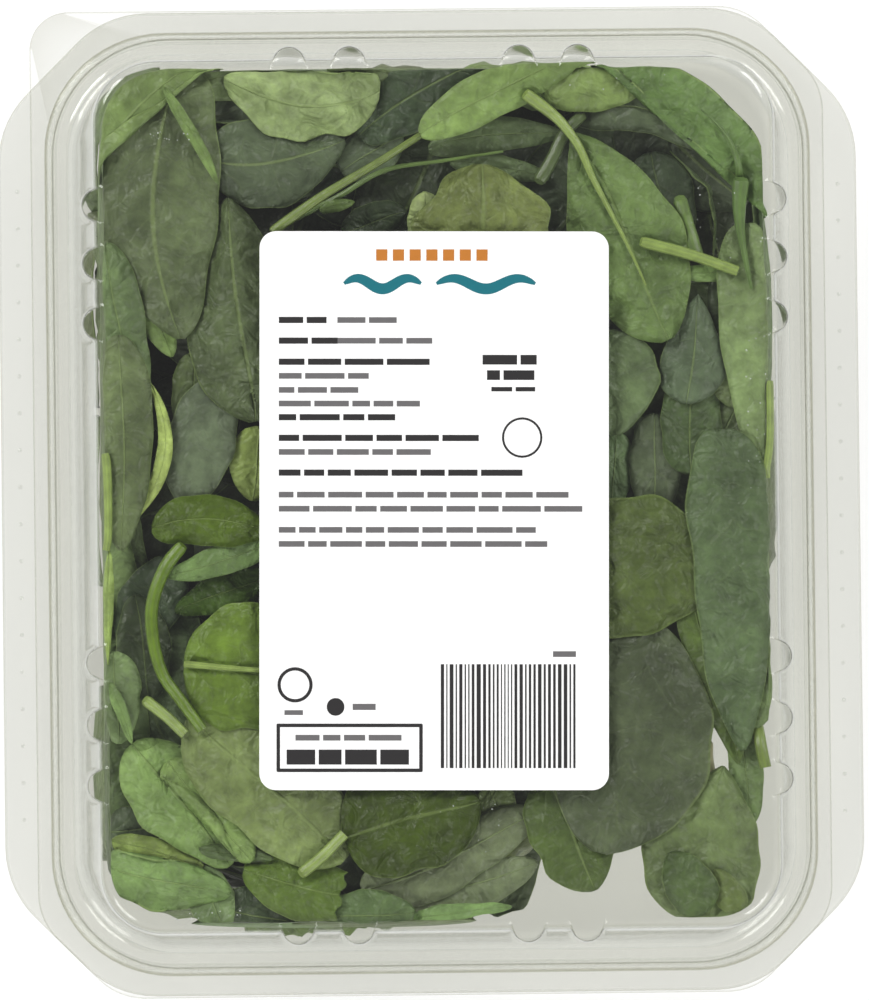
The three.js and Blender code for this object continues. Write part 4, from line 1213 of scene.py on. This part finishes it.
def layCornerLeaves(pile):
    # where the heap stands clear of the tub's corners the leaves lie against its own side
    draw = random.Random(29)
    route, run, _ = heapSide()
    bed = Bed(run[-1], 80, heapPlace)
    spots = [(run[np.argmin(np.hypot(route[:, 0] - x, route[:, 1] - y))], b)
             for x, y in hidden["cornerSpots"] for b in hidden["cornerRows"]]
    draw.shuffle(spots)
    for order, (a, b) in enumerate(spots):
        share = order / len(spots)
        # painted shade: corner leaves laid later lie deeper and take darker tones
        tones = hidden["outerTones"] if share < 0.6 else hidden["innerShadeTones"]
        tilt = draw.choice((0, math.pi)) + draw.uniform(-0.6, 0.6)
        a, b = a + draw.uniform(-4, 4), b + draw.uniform(-3, 3)
        leaf = hiddenLeaf(draw, a, b, 0.3 + 5 * share, tilt, tones)
        keepWithin(leaf, 20, 54, 25)
        layLeaf(pile, bed, leaf, draw, 2.2)


def layLidLeaves(leafSkin):
    pile = LeafPile()
    draw = random.Random(31)
    bed = Bed(90, 110, lidPlace)
    spots = []
    rows, columns = int(180 / hidden["lidPitch"]), int(140 / hidden["lidPitch"])
    for row in range(rows):
        for column in range(columns):
            spots.append((-66 + (column + 0.5) * 132 / columns + draw.uniform(-5, 5),
                          -88 + (row + 0.5) * 176 / rows + draw.uniform(-5, 5)))
    draw.shuffle(spots)
    for order, (a, b) in enumerate(spots):
        if not insideHeap(a * 1.05, -b * 1.05):
            continue
        share = order / len(spots)
        # painted shade: lid leaves laid later lie deeper and take darker tones
        tones = hidden["outerTones"] if share < 0.6 else hidden["innerShadeTones"]
        leaf = hiddenLeaf(draw, a, b, 0.5 + 8 * share, draw.uniform(0, 6.28), tones)
        layLeaf(pile, bed, leaf, draw, 2.2)
    pile.build("lidLeaves", leafSkin)


# Stalks are tubes along their routes

def smoothRoute(points, steps):
    route = []
    ends = [points[0]] + list(points) + [points[-1]]
    for i in range(len(points) - 1):
        p0, p1, p2, p3 = (np.array(p, float) for p in ends[i:i + 4])
        for k in range(steps):
            t = k / steps
            route.append(0.5 * (2 * p1 + (p2 - p0) * t + (2 * p0 - 5 * p1 + 4 * p2 - p3) * t ** 2
                                + (3 * p1 - p0 - 3 * p2 + p3) * t ** 3))
    route.append(np.array(points[-1], float))
    return np.array(route)


def layStalk(bed, stalk):
    route = smoothRoute(stalk["path"], 7)
    share = np.linspace(0, 1, len(route))
    radius = stalk["radius"] * (1 + (stalk["end"] - 1) * share) * (1 - 0.25 * np.exp(-share * 30))
    depth = leafShape["depthStep"] * max(stalk["level"], 0) ** 1.25
    wish = np.full(len(route), -0.35 - depth) - radius
    room = bed.read(route[:, 0], route[:, 1]) - 0.3 - radius
    drop = np.maximum(0, wish - room)
    for _ in range(8):
        wide = np.pad(drop, 1, mode="edge")
        drop = np.maximum(drop, (wide[:-2] + wide[2:]) / 2 * 0.95)
    height = wish - drop
    for offset in (-1, -0.5, 0, 0.5, 1):
        heading = np.gradient(route, axis=0)
        heading /= np.maximum(np.hypot(heading[:, 0], heading[:, 1]), 1e-6)[:, None]
        a = route[:, 0] - heading[:, 1] * offset * radius
        b = route[:, 1] + heading[:, 0] * offset * radius
        fine = np.linspace(0, len(a) - 1, len(a) * 6)
        at = np.arange(len(a))
        bed.cover(np.interp(fine, at, a), np.interp(fine, at, b),
                  np.interp(fine, at, height - radius * math.sqrt(1.01 - offset * offset)))
    places = bed.place(route[:, 0], route[:, 1], height)
    return places, radius, leafTints[stalk["tone"]]


def stalkTree():
    tree = NodeTree("tubesAlongRoutes", {
        "Sides": "NodeSocketInt", "Flatness": "NodeSocketFloat", "Material": "NodeSocketMaterial"})
    curve = tree.add("GeometryNodeMeshToCurve", {"Mesh": tree.given("Geometry")})
    thick = tree.add("GeometryNodeInputNamedAttribute", {"Name": "thick"}, data_type="FLOAT")
    sized = tree.add("GeometryNodeSetCurveRadius", {
        "Curve": curve.outputs[0], "Radius": thick.outputs[0]})
    ring = tree.add("GeometryNodeCurvePrimitiveCircle", {"Resolution": tree.given("Sides"), "Radius": 1.0})
    squash = tree.add("ShaderNodeCombineXYZ", {"X": 1.0, "Y": tree.given("Flatness"), "Z": 1.0})
    turn = tree.add("GeometryNodeSplineParameter")
    marked = tree.add("GeometryNodeStoreNamedAttribute", {
        "Geometry": ring.outputs[0], "Name": "around", "Value": turn.outputs["Factor"]}, data_type="FLOAT")
    section = tree.add("GeometryNodeTransform", {
        "Geometry": marked.outputs[0], "Scale": squash.outputs[0]})
    tube = tree.add("GeometryNodeCurveToMesh", {
        "Curve": sized.outputs[0], "Profile Curve": section.outputs[0], "Fill Caps": True})
    if "Scale" in tube.inputs:
        again = tree.add("GeometryNodeInputNamedAttribute", {"Name": "thick"}, data_type="FLOAT")
        tree.tree.links.new(again.outputs[0], tube.inputs["Scale"])
    smooth = tree.add("GeometryNodeSetShadeSmooth", {"Geometry": tube.outputs[0]})
    return tree.finish(smooth.outputs[0])


def buildStalks(stalks, material):
    points, edges, thick, tints = [], [], [], []
    for places, radius, tint in stalks:
        start = len(points)
        points += places.tolist()
        edges += [(start + i, start + i + 1) for i in range(len(places) - 1)]
        thick += (radius * millimetre).tolist()
        tints += list(tint) * len(places)
    wire = bpy.data.meshes.new("stalkRoutes")
    wire.from_pydata((np.array(points) * millimetre).tolist(), edges, [])
    wire.attributes.new("thick", "FLOAT", "POINT").data.foreach_set("value", thick)
    wire.color_attributes.new("leafTint", "FLOAT_COLOR", "POINT").data.foreach_set("color", tints)
    mesh = growMesh("stalks", stalkTree(), {"Sides": 12, "Flatness": 0.85, "Material": material}, wire)
    turnOutward(mesh)
    addPiece("stalks", mesh, material, "leaf")
    print("stalks made,", len(mesh.polygons), "faces")


# Dark middle of the heap, under the leaves; its near-black skin is painted shade

core = {
    "top": 50.0,
    "foot": 9.0,
    "inset": 0.93,            # its size as a share of the heap's plan
    "lump": 2.6,
    "skin": dict(dark=(0.008, 0.014, 0.006, 1.0), light=(0.03, 0.045, 0.02, 1.0), scale=60.0,
                 roughness=0.7, height=0.0006),
}


def buildCore():
    ring = smoothRoute([*heapPlan, heapPlan[0]], 4)[:-1]
    draw = random.Random(5)
    top, foot = core["top"], core["foot"]
    rings = []
    sizes = [(0.3, top), (0.6, top - 1), (0.85, top - 2)]
    for share in np.linspace(0, 1, 8):
        bulge = math.sin(math.pi * share) ** 0.3
        sizes.append((0.94 + 0.06 * bulge, top - 4 - (top - 4 - foot) * share))
    sizes.append((0.5, foot - 0.5))
    for size, z in sizes:
        rings.append([(x * size * core["inset"] * (1 + draw.uniform(-0.02, 0.02)),
                       y * size * core["inset"] * (1 + draw.uniform(-0.02, 0.02)),
                       z + draw.uniform(-core["lump"], core["lump"]) * 0.5) for x, y in ring])
    mesh = loft("heapCore", rings)
    turnOutward(mesh)
    addPiece("heapCore", mesh, mottledMaterial("heapShade", **core["skin"]), "leaf")
    print("core made")


# The label and its generic print

def roundedPlate(name, width, height, radius, low, high, steps=10):
    outline = []
    for index in range(4):
        outline += roundCorner(width / 2, height / 2, radius, index, steps)
    count = len(outline)
    points = [(x, y, low) for x, y in outline] + [(x, y, high) for x, y in outline]
    faces = [tuple(range(count))[::-1], tuple(range(count, 2 * count))]
    faces += [(i, (i + 1) % count, count + (i + 1) % count, count + i) for i in range(count)]
    mesh = meshFrom(name, points, faces, smooth=False)
    turnOutward(mesh)
    return mesh


def onLabel(mesh):
    turn = Matrix.Rotation(math.radians(label["turn"]), 4, "Z")
    centre = Vector((*label["centre"], 0)) * millimetre
    mesh.transform(Matrix.Translation(centre) @ turn)
    return mesh


# Plain marks: strokes by their ends, height and half width; rings by half sizes, band, steps, rounding
# and place
marks = {
    "thick": 0.02,
    "strokes": ((-20.5, -3.0, 51.6, 1.25), (0.5, 23.0, 51.6, 1.25)),
    "swing": 1.2,
    "waves": 1.5,
    "rings": ((16.6, 5.5, 0.8, 4, 0.3, -19.2, -53.9), (4.0, 4.0, 0.75, 10, 4.0, -31.6, -39.6),
              (4.6, 4.6, 0.5, 10, 4.6, 20.0, 16.6)),
    "dot": (1.95, -22.4, -44.6),
    "ink": dict(scale=900.0, roughness=0.5, height=0.00001),
}

# Rows of dashes stand where the words are: left end, height, length, dash height
printRows = {
    "titleDashes": dict(ink="ochre", rows=[(-13.2, 58.1, 26.6, 2.6)], dash=2.7, gap=1.25, even=True),
    "smallPrint": dict(ink="grey", dash=6.0, gap=0.8, even=False, rows=[
        (-22.0, 43.3, 17, 1.3), (-22.0, 38.6, 21, 1.3), (-35.3, 30.6, 21, 1.3), (-35.3, 27.4, 18, 1.3),
        (-35.3, 24.3, 33, 1.3), (-35.3, 13.3, 34, 1.3), (-35.3, 3.6, 66, 1.3), (-35.3, 0.4, 62, 1.3),
        (-35.3, -4.4, 69, 1.3), (-35.3, -7.6, 62, 1.3), (-31.5, -51.6, 25, 1.3), (-34.0, -45.9, 5, 1.1),
        (-18.5, -44.6, 6, 1.4), (27, -32.6, 6, 1.3)]),
    "boldPrint": dict(ink="black", dash=6.5, gap=0.8, even=False, rows=[
        (-35.3, 43.3, 12, 1.4), (-35.3, 38.6, 12, 1.4), (-35.3, 33.8, 31, 1.4), (-35.3, 21.2, 29, 1.4),
        (-35.3, 16.5, 43, 1.4), (-35.3, 8.6, 62, 1.4), (-33.5, -56.0, 26.5, 3.4),
        (11, 34.3, 14, 2.2), (12, 30.8, 12, 2.2), (13, 27.6, 11, 1.0)]),
}

inks = {
    "black": srgb(38, 36, 37),
    "grey": srgb(104, 102, 103),
    "ochre": srgb(190, 118, 42),
    "teal": srgb(10, 108, 120),
}

bars = {
    "left": 1.5,
    "right": 32.9,
    "low": -58.5,
    "high": -34.9,
    "count": 30,
    "gap": 0.5,
    "seed": 4,
}


def randomBetween(tree, least, most, seed):
    node = tree.add("FunctionNodeRandomValue", {"Seed": seed}, data_type="FLOAT")
    for socket in node.inputs:
        if socket.type == "VALUE" and socket.name in ("Min", "Max"):
            value = least if socket.name == "Min" else most
            if isinstance(value, bpy.types.NodeSocket):
                tree.tree.links.new(value, socket)
            else:
                socket.default_value = value
    return next(socket for socket in node.outputs if socket.type == "VALUE" and socket.enabled)


def dashTree():
    # bars of uneven width one after another with an even gap, which end short of the row's length
    tree = NodeTree("dashesInARow", {
        "Count": "NodeSocketInt", "Least": "NodeSocketFloat", "Most": "NodeSocketFloat",
        "Gap": "NodeSocketFloat", "Height": "NodeSocketFloat", "Thick": "NodeSocketFloat",
        "Seed": "NodeSocketInt", "Material": "NodeSocketMaterial"})
    line = tree.add("GeometryNodeMeshLine", {"Count": tree.given("Count"), "Offset": (0.0, 0.0, 0.0)})
    width = randomBetween(tree, tree.given("Least"), tree.given("Most"), tree.given("Seed"))
    stepped = tree.add("ShaderNodeMath", {0: width, 1: tree.given("Gap")}, operation="ADD")
    summed = tree.add("GeometryNodeAccumulateField", {0: stepped.outputs[0]}, data_type="FLOAT")
    middle = tree.add("ShaderNodeMath", {0: width, 1: 0.5, 2: summed.outputs["Trailing"]},
                      operation="MULTIPLY_ADD")
    place = tree.add("ShaderNodeCombineXYZ", {"X": middle.outputs[0]})
    spread = tree.add("GeometryNodeSetPosition", {"Geometry": line.outputs[0], "Offset": place.outputs[0]})
    bar = tree.add("GeometryNodeMeshCube", {"Size": (1.0, 1.0, 1.0)})
    size = tree.add("ShaderNodeCombineXYZ", {
        "X": width, "Y": tree.given("Height"), "Z": tree.given("Thick")})
    placed = tree.add("GeometryNodeInstanceOnPoints", {
        "Points": spread.outputs[0], "Instance": bar.outputs[0], "Scale": size.outputs[0]})
    return tree.finish(placed.outputs[0])


def joinMeshes(name, meshes):
    shape = bmesh.new()
    for mesh in meshes:
        shape.from_mesh(mesh)
        bpy.data.meshes.remove(mesh)
    joined = bpy.data.meshes.new(name)
    shape.to_mesh(joined)
    shape.free()
    return joined


def inkMaterial(name, colour):
    dark = tuple(value * 0.85 for value in colour[:3]) + (1.0,)
    return mottledMaterial(name, dark, colour, **marks["ink"])


def movedMesh(mesh, x, y, z):
    mesh.transform(Matrix.Translation(Vector((x, y, z)) * millimetre))
    return mesh


def ringMesh(name, halfX, halfY, band, steps, rounding):
    # a flat closed band: outer and inner outline, top and underside
    def outline(inset):
        points = []
        for index in range(4):
            points += roundCorner(halfX - inset, halfY - inset, max(rounding - inset, 0.05), index, steps)
        return points
    outer, inner = outline(0), outline(band)
    count = len(outer)
    points = [(x, y, z) for z in (0.0, marks["thick"]) for x, y in outer + inner]
    faces = []
    for i in range(count):
        j = (i + 1) % count
        for low, high in ((0, count), (3 * count, 2 * count)):
            faces.append((low + i, high + i, high + j, low + j))
        faces.append((i, j, 2 * count + j, 2 * count + i))
        faces.append((count + j, count + i, 3 * count + i, 3 * count + j))
    mesh = meshFrom(name, points, faces, smooth=False)
    turnOutward(mesh)
    return mesh


def brushStroke(name, left, right, middle, band):
    # one even wave, thinner at both ends
    t = np.linspace(0, 1, 80)
    x = left + (right - left) * t
    y = middle + marks["swing"] * np.sin(2 * math.pi * marks["waves"] * t)
    heading = np.stack([np.gradient(x), np.gradient(y)], -1)
    heading /= np.hypot(heading[:, 0], heading[:, 1])[:, None]
    half = band * np.sin(np.pi * np.clip(t, 0.01, 0.99)) ** 0.35
    outer = np.stack([x - heading[:, 1] * half, y + heading[:, 0] * half], -1)
    inner = np.stack([x + heading[:, 1] * half, y - heading[:, 0] * half], -1)
    edge = np.concatenate([outer, inner[::-1]])
    count, size = len(t), len(edge)
    points = [(px, py, z) for z in (0.0, marks["thick"]) for px, py in edge]
    faces = []
    for i in range(count - 1):
        a, b, c, d = i, i + 1, size - 2 - i, size - 1 - i
        faces += [(a, b, c, d), (a + size, d + size, c + size, b + size)]
    faces += [(i, (i + 1) % size, size + (i + 1) % size, size + i) for i in range(size)]
    mesh = meshFrom(name, points, faces, smooth=False)
    turnOutward(mesh)
    return mesh


def buildLabel():
    width, height = label["size"]
    low, high = label["base"], label["base"] + label["thick"]
    plate = onLabel(roundedPlate("paperLabel", width, height, label["radius"], low, high))
    addPiece("paperLabel", plate, mottledMaterial("labelPaper", **label["paper"]), "paper", "label")
    dashes = dashTree()
    printed = {ink: [] for ink in inks}
    skins = {ink: inkMaterial(ink + "Ink", colour) for ink, colour in inks.items()}
    draw = random.Random(3)

    def addBars(ink, x, y, count, least, most, gap, tall, seed):
        mesh = growMesh("dashes", dashes, {
            "Count": count, "Least": least * millimetre, "Most": most * millimetre,
            "Gap": gap * millimetre, "Height": tall * millimetre, "Thick": marks["thick"] * millimetre,
            "Seed": seed, "Material": skins[ink]})
        printed[ink].append(movedMesh(mesh, x, y, high + 0.012))

    for block in printRows.values():
        for left, y, length, tall in block["rows"]:
            mean, gap = block["dash"], block["gap"]
            count = max(1, round(length / (mean + gap)))
            mean = length / count - gap
            spread = 0.0 if block["even"] or count < 2 else 0.45
            addBars(block["ink"], left, y, count, mean * (1 - spread), mean * (1 + spread), gap, tall,
                    draw.randint(1, 999))
    mean = (bars["right"] - bars["left"]) / bars["count"] - bars["gap"]
    addBars("black", bars["left"], (bars["low"] + bars["high"]) / 2, bars["count"], mean * 0.3, mean * 1.8,
            bars["gap"], bars["high"] - bars["low"], bars["seed"])
    top = high + 0.002
    for stroke in marks["strokes"]:
        printed["teal"].append(movedMesh(brushStroke("titleStroke", *stroke), 0, 0, top))
    for *form, x, y in marks["rings"]:
        printed["black"].append(movedMesh(ringMesh("ring", *form), x, y, top))
    radius, x, y = marks["dot"]
    dot = roundedPlate("dot", 4.0, 4.0, radius, 0, marks["thick"])
    printed["black"].append(movedMesh(dot, x, y, top))
    for ink, meshes in printed.items():
        addPiece(ink + "Print", onLabel(joinMeshes(ink + "Print", meshes)), skins[ink], "paper")
    print("label and print made")


# Small things that repeat: pimples on the flange, and drops of water inside the panel

pimples = {
    "count": 18,
    "pitch": 8.6,
    "across": 95.6,
    "radius": 0.5,
}

# Patches of drops: middle, half sizes, how many
drops = {
    "patches": ((74, 20, 3.5, 24, 40), (66, 60, 9, 9, 14), (-60, 82, 6, 1.2, 16), (-55, -95, 10, 1, 18),
                (6, -76, 8, 6, 10), (40, 93, 20, 2, 10)),
    "size": (0.05, 0.2),
    "limits": (75.5, 97.0),   # no drop lies further out than this
    "colour": (0.85, 0.9, 0.86, 1.0),
    "roughness": 0.03,
    "alpha": 0.35,
}


def pimpleTree():
    tree = NodeTree("pimplesInARow", {
        "Count": "NodeSocketInt", "Step": "NodeSocketFloat", "Radius": "NodeSocketFloat",
        "Material": "NodeSocketMaterial"})
    offset = tree.add("ShaderNodeCombineXYZ", {"Y": tree.given("Step")})
    line = tree.add("GeometryNodeMeshLine", {"Count": tree.given("Count"), "Offset": offset.outputs[0]})
    ball = tree.add("GeometryNodeMeshIcoSphere", {"Radius": tree.given("Radius"), "Subdivisions": 3})
    low = tree.add("GeometryNodeTransform", {"Geometry": ball.outputs[0], "Scale": (1.0, 1.0, 0.45)})
    placed = tree.add("GeometryNodeInstanceOnPoints", {"Points": line.outputs[0], "Instance": low.outputs[0]})
    return tree.finish(placed.outputs[0])


def dropTree():
    tree = NodeTree("dropsOnPatches", {
        "Density": "NodeSocketFloat", "Least": "NodeSocketFloat", "Most": "NodeSocketFloat",
        "Seed": "NodeSocketInt", "Material": "NodeSocketMaterial"})
    spots = tree.add("GeometryNodeDistributePointsOnFaces", {
        "Mesh": tree.given("Geometry"), "Density": tree.given("Density"), "Seed": tree.given("Seed")})
    ball = tree.add("GeometryNodeMeshIcoSphere", {"Radius": 1.0, "Subdivisions": 2})
    low = tree.add("GeometryNodeTransform", {"Geometry": ball.outputs[0], "Scale": (1.0, 1.0, 0.35)})
    size = randomBetween(tree, tree.given("Least"), tree.given("Most"), tree.given("Seed"))
    placed = tree.add("GeometryNodeInstanceOnPoints", {
        "Points": spots.outputs["Points"], "Instance": low.outputs[0], "Scale": size})
    smooth = tree.add("GeometryNodeSetShadeSmooth", {"Geometry": placed.outputs[0]})
    return tree.finish(smooth.outputs[0])


def buildPimples(clear):
    tree = pimpleTree()
    rows = []
    for sign in (-1, 1):
        mesh = growMesh("pimples", tree, {
            "Count": pimples["count"], "Step": pimples["pitch"] * millimetre,
            "Radius": pimples["radius"] * millimetre, "Material": clear})
        start = -pimples["pitch"] * (pimples["count"] - 1) / 2
        rows.append(movedMesh(mesh, sign * pimples["across"], start, tub["flangeTop"] + 0.02))
    addPiece("flangePimples", joinMeshes("flangePimples", rows), clear, "clear_plastic")
    print("pimples made")


def buildDrops():
    material, _, skin = newSkin("water", Roughness=drops["roughness"], Alpha=drops["alpha"])
    skin.inputs["Base Color"].default_value = drops["colour"]
    tree = dropTree()
    z = tub["panelTop"] - tub["sheet"] - 0.02
    limitX, limitY = drops["limits"]
    least, most = (size * millimetre for size in drops["size"])
    wet = []
    for number, (x, y, halfA, halfB, count) in enumerate(drops["patches"]):
        corners = [(x + a * halfA, y + b * halfB) for a, b in ((-1, -1), (1, -1), (1, 1), (-1, 1))]
        corners = [(min(max(a, -limitX), limitX), min(max(b, -limitY), limitY), z) for a, b in corners]
        patch = meshFrom("patch", corners, [(0, 1, 2, 3)], smooth=False)
        area = 4 * halfA * halfB * millimetre ** 2
        wet.append(growMesh("drops", tree, {
            "Density": count / area, "Least": least, "Most": most, "Seed": number, "Material": material},
            patch))
    addPiece("waterDrops", joinMeshes("waterDrops", wet), material, "clear_plastic")
    print("drops made")


# Floor, light and camera

lighting = {
    "horizon": 1.1,           # strength of the sky low down and overhead
    "zenith": 0.18,
    "table": 0.72,            # glow of the white table from beneath
    "tableColour": (0.35, 0.35, 0.347, 1.0),
    "tableHalf": 4000.0,
    "tableTop": -0.2,
    # place in metres and power of each
    "softboxes": (((-3.0, 2.6, 3.0), 135.0), ((3.0, 2.6, 3.0), 85.0), ((2.8, -2.8, 3.0), 75.0),
                  ((-2.8, -2.8, 3.0), 75.0)),
    "boxSize": 2.0,
}


def buildStage():
    half, z = lighting["tableHalf"], lighting["tableTop"]
    corners = [(-half, -half, z), (half, -half, z), (half, half, z), (-half, half, z)]
    floor = makeObject("floor", meshFrom("floor", corners, [(0, 1, 2, 3)], smooth=False))
    material, _, skin = newSkin("paleFloor", Roughness=1.0)
    setInputs(skin, **{"Specular IOR Level": 0.0, "Base Color": lighting["tableColour"],
                       "Emission Color": (1.0, 1.0, 0.99, 1.0), "Emission Strength": lighting["table"]})
    useMaterial(floor, material)
    print("floor laid")


def buildLight():
    world = bpy.data.worlds.new("softSky")
    bpy.context.scene.world = world
    world.use_nodes = True
    tree = world.node_tree
    tree.nodes.clear()
    out = addNode(tree, "ShaderNodeOutputWorld")
    sky = addNode(tree, "ShaderNodeBackground")
    where = addNode(tree, "ShaderNodeTexCoord")
    split = addNode(tree, "ShaderNodeSeparateXYZ")
    tree.links.new(where.outputs["Generated"], split.inputs[0])
    ramp = mapRange(tree, split.outputs[2], 0.25, 0.95, lighting["horizon"], lighting["zenith"], "SMOOTHSTEP")
    tree.links.new(ramp, sky.inputs["Strength"])
    tree.links.new(sky.outputs[0], out.inputs["Surface"])
    for number, (spot, energy) in enumerate(lighting["softboxes"]):
        lamp = bpy.data.lights.new("softbox" + str(number), "AREA")
        lamp.shape = "SQUARE"
        lamp.size = lighting["boxSize"]
        lamp.energy = energy
        holder = bpy.data.objects.new(lamp.name, lamp)
        bpy.context.scene.collection.objects.link(holder)
        holder.location = spot
        holder.rotation_euler = (-Vector(spot)).to_track_quat("-Z", "Y").to_euler()
    print("lights placed")


camera = {
    "aim": (-0.7, -1.4, 75.0),
    "distance": 2550.0,
    "leanX": 1.3,             # how far the camera stands off to the left and below, in degrees
    "leanY": 1.5,
    "roll": 0.65,
    "frameHeight": 227.2,     # what the picture's height spans at the panel
    "sensor": 36.0,
    "farthest": 50.0,         # in metres
}


def buildCamera():
    lens = bpy.data.cameras.new("camera")
    lens.sensor_fit = "VERTICAL"
    lens.sensor_height = camera["sensor"]
    lens.lens = camera["distance"] * camera["sensor"] / camera["frameHeight"]
    lens.clip_end = camera["farthest"]
    holder = bpy.data.objects.new("camera", lens)
    bpy.context.scene.collection.objects.link(holder)
    leanX, leanY = math.radians(camera["leanX"]), math.radians(camera["leanY"])
    away = Vector((-math.tan(leanX), -math.tan(leanY), 1.0)).normalized()
    place = (Vector(camera["aim"]) + away * camera["distance"]) * millimetre
    up = Matrix.Rotation(math.radians(-camera["roll"]), 3, away) @ Vector((0, 1, 0))
    right = up.cross(away).normalized()
    up = away.cross(right).normalized()
    turned = Matrix((right, up, away)).transposed().to_4x4()
    holder.matrix_world = Matrix.Translation(place) @ turned
    bpy.context.scene.camera = holder
    print("camera placed")


def buildScene():
    buildCamera()
    buildStage()
    buildLight()
    scene = bpy.context.scene
    scene.view_settings.view_transform = "Standard"
    scene.cycles.transparent_max_bounces = 28
    scene.cycles.max_bounces = 3
    scene.cycles.diffuse_bounces = 2
    scene.cycles.glossy_bounces = 2
    clear = clearPlastic("clearPlastic", plastic["trayTint"])
    buildTray(clear)
    buildLid(clearPlastic("clearLidPlastic", plastic["lidTint"]))
    buildLabel()
    leafSkin = leafMaterial("leafSkin")
    buildStalks(layPanelLeaves(leafSkin), stalkMaterial("stalkSkin"))
    layWallLeaves(leafSkin)
    layLidLeaves(leafSkin)
    buildCore()
    buildPimples(clear)
    buildDrops()


buildScene()
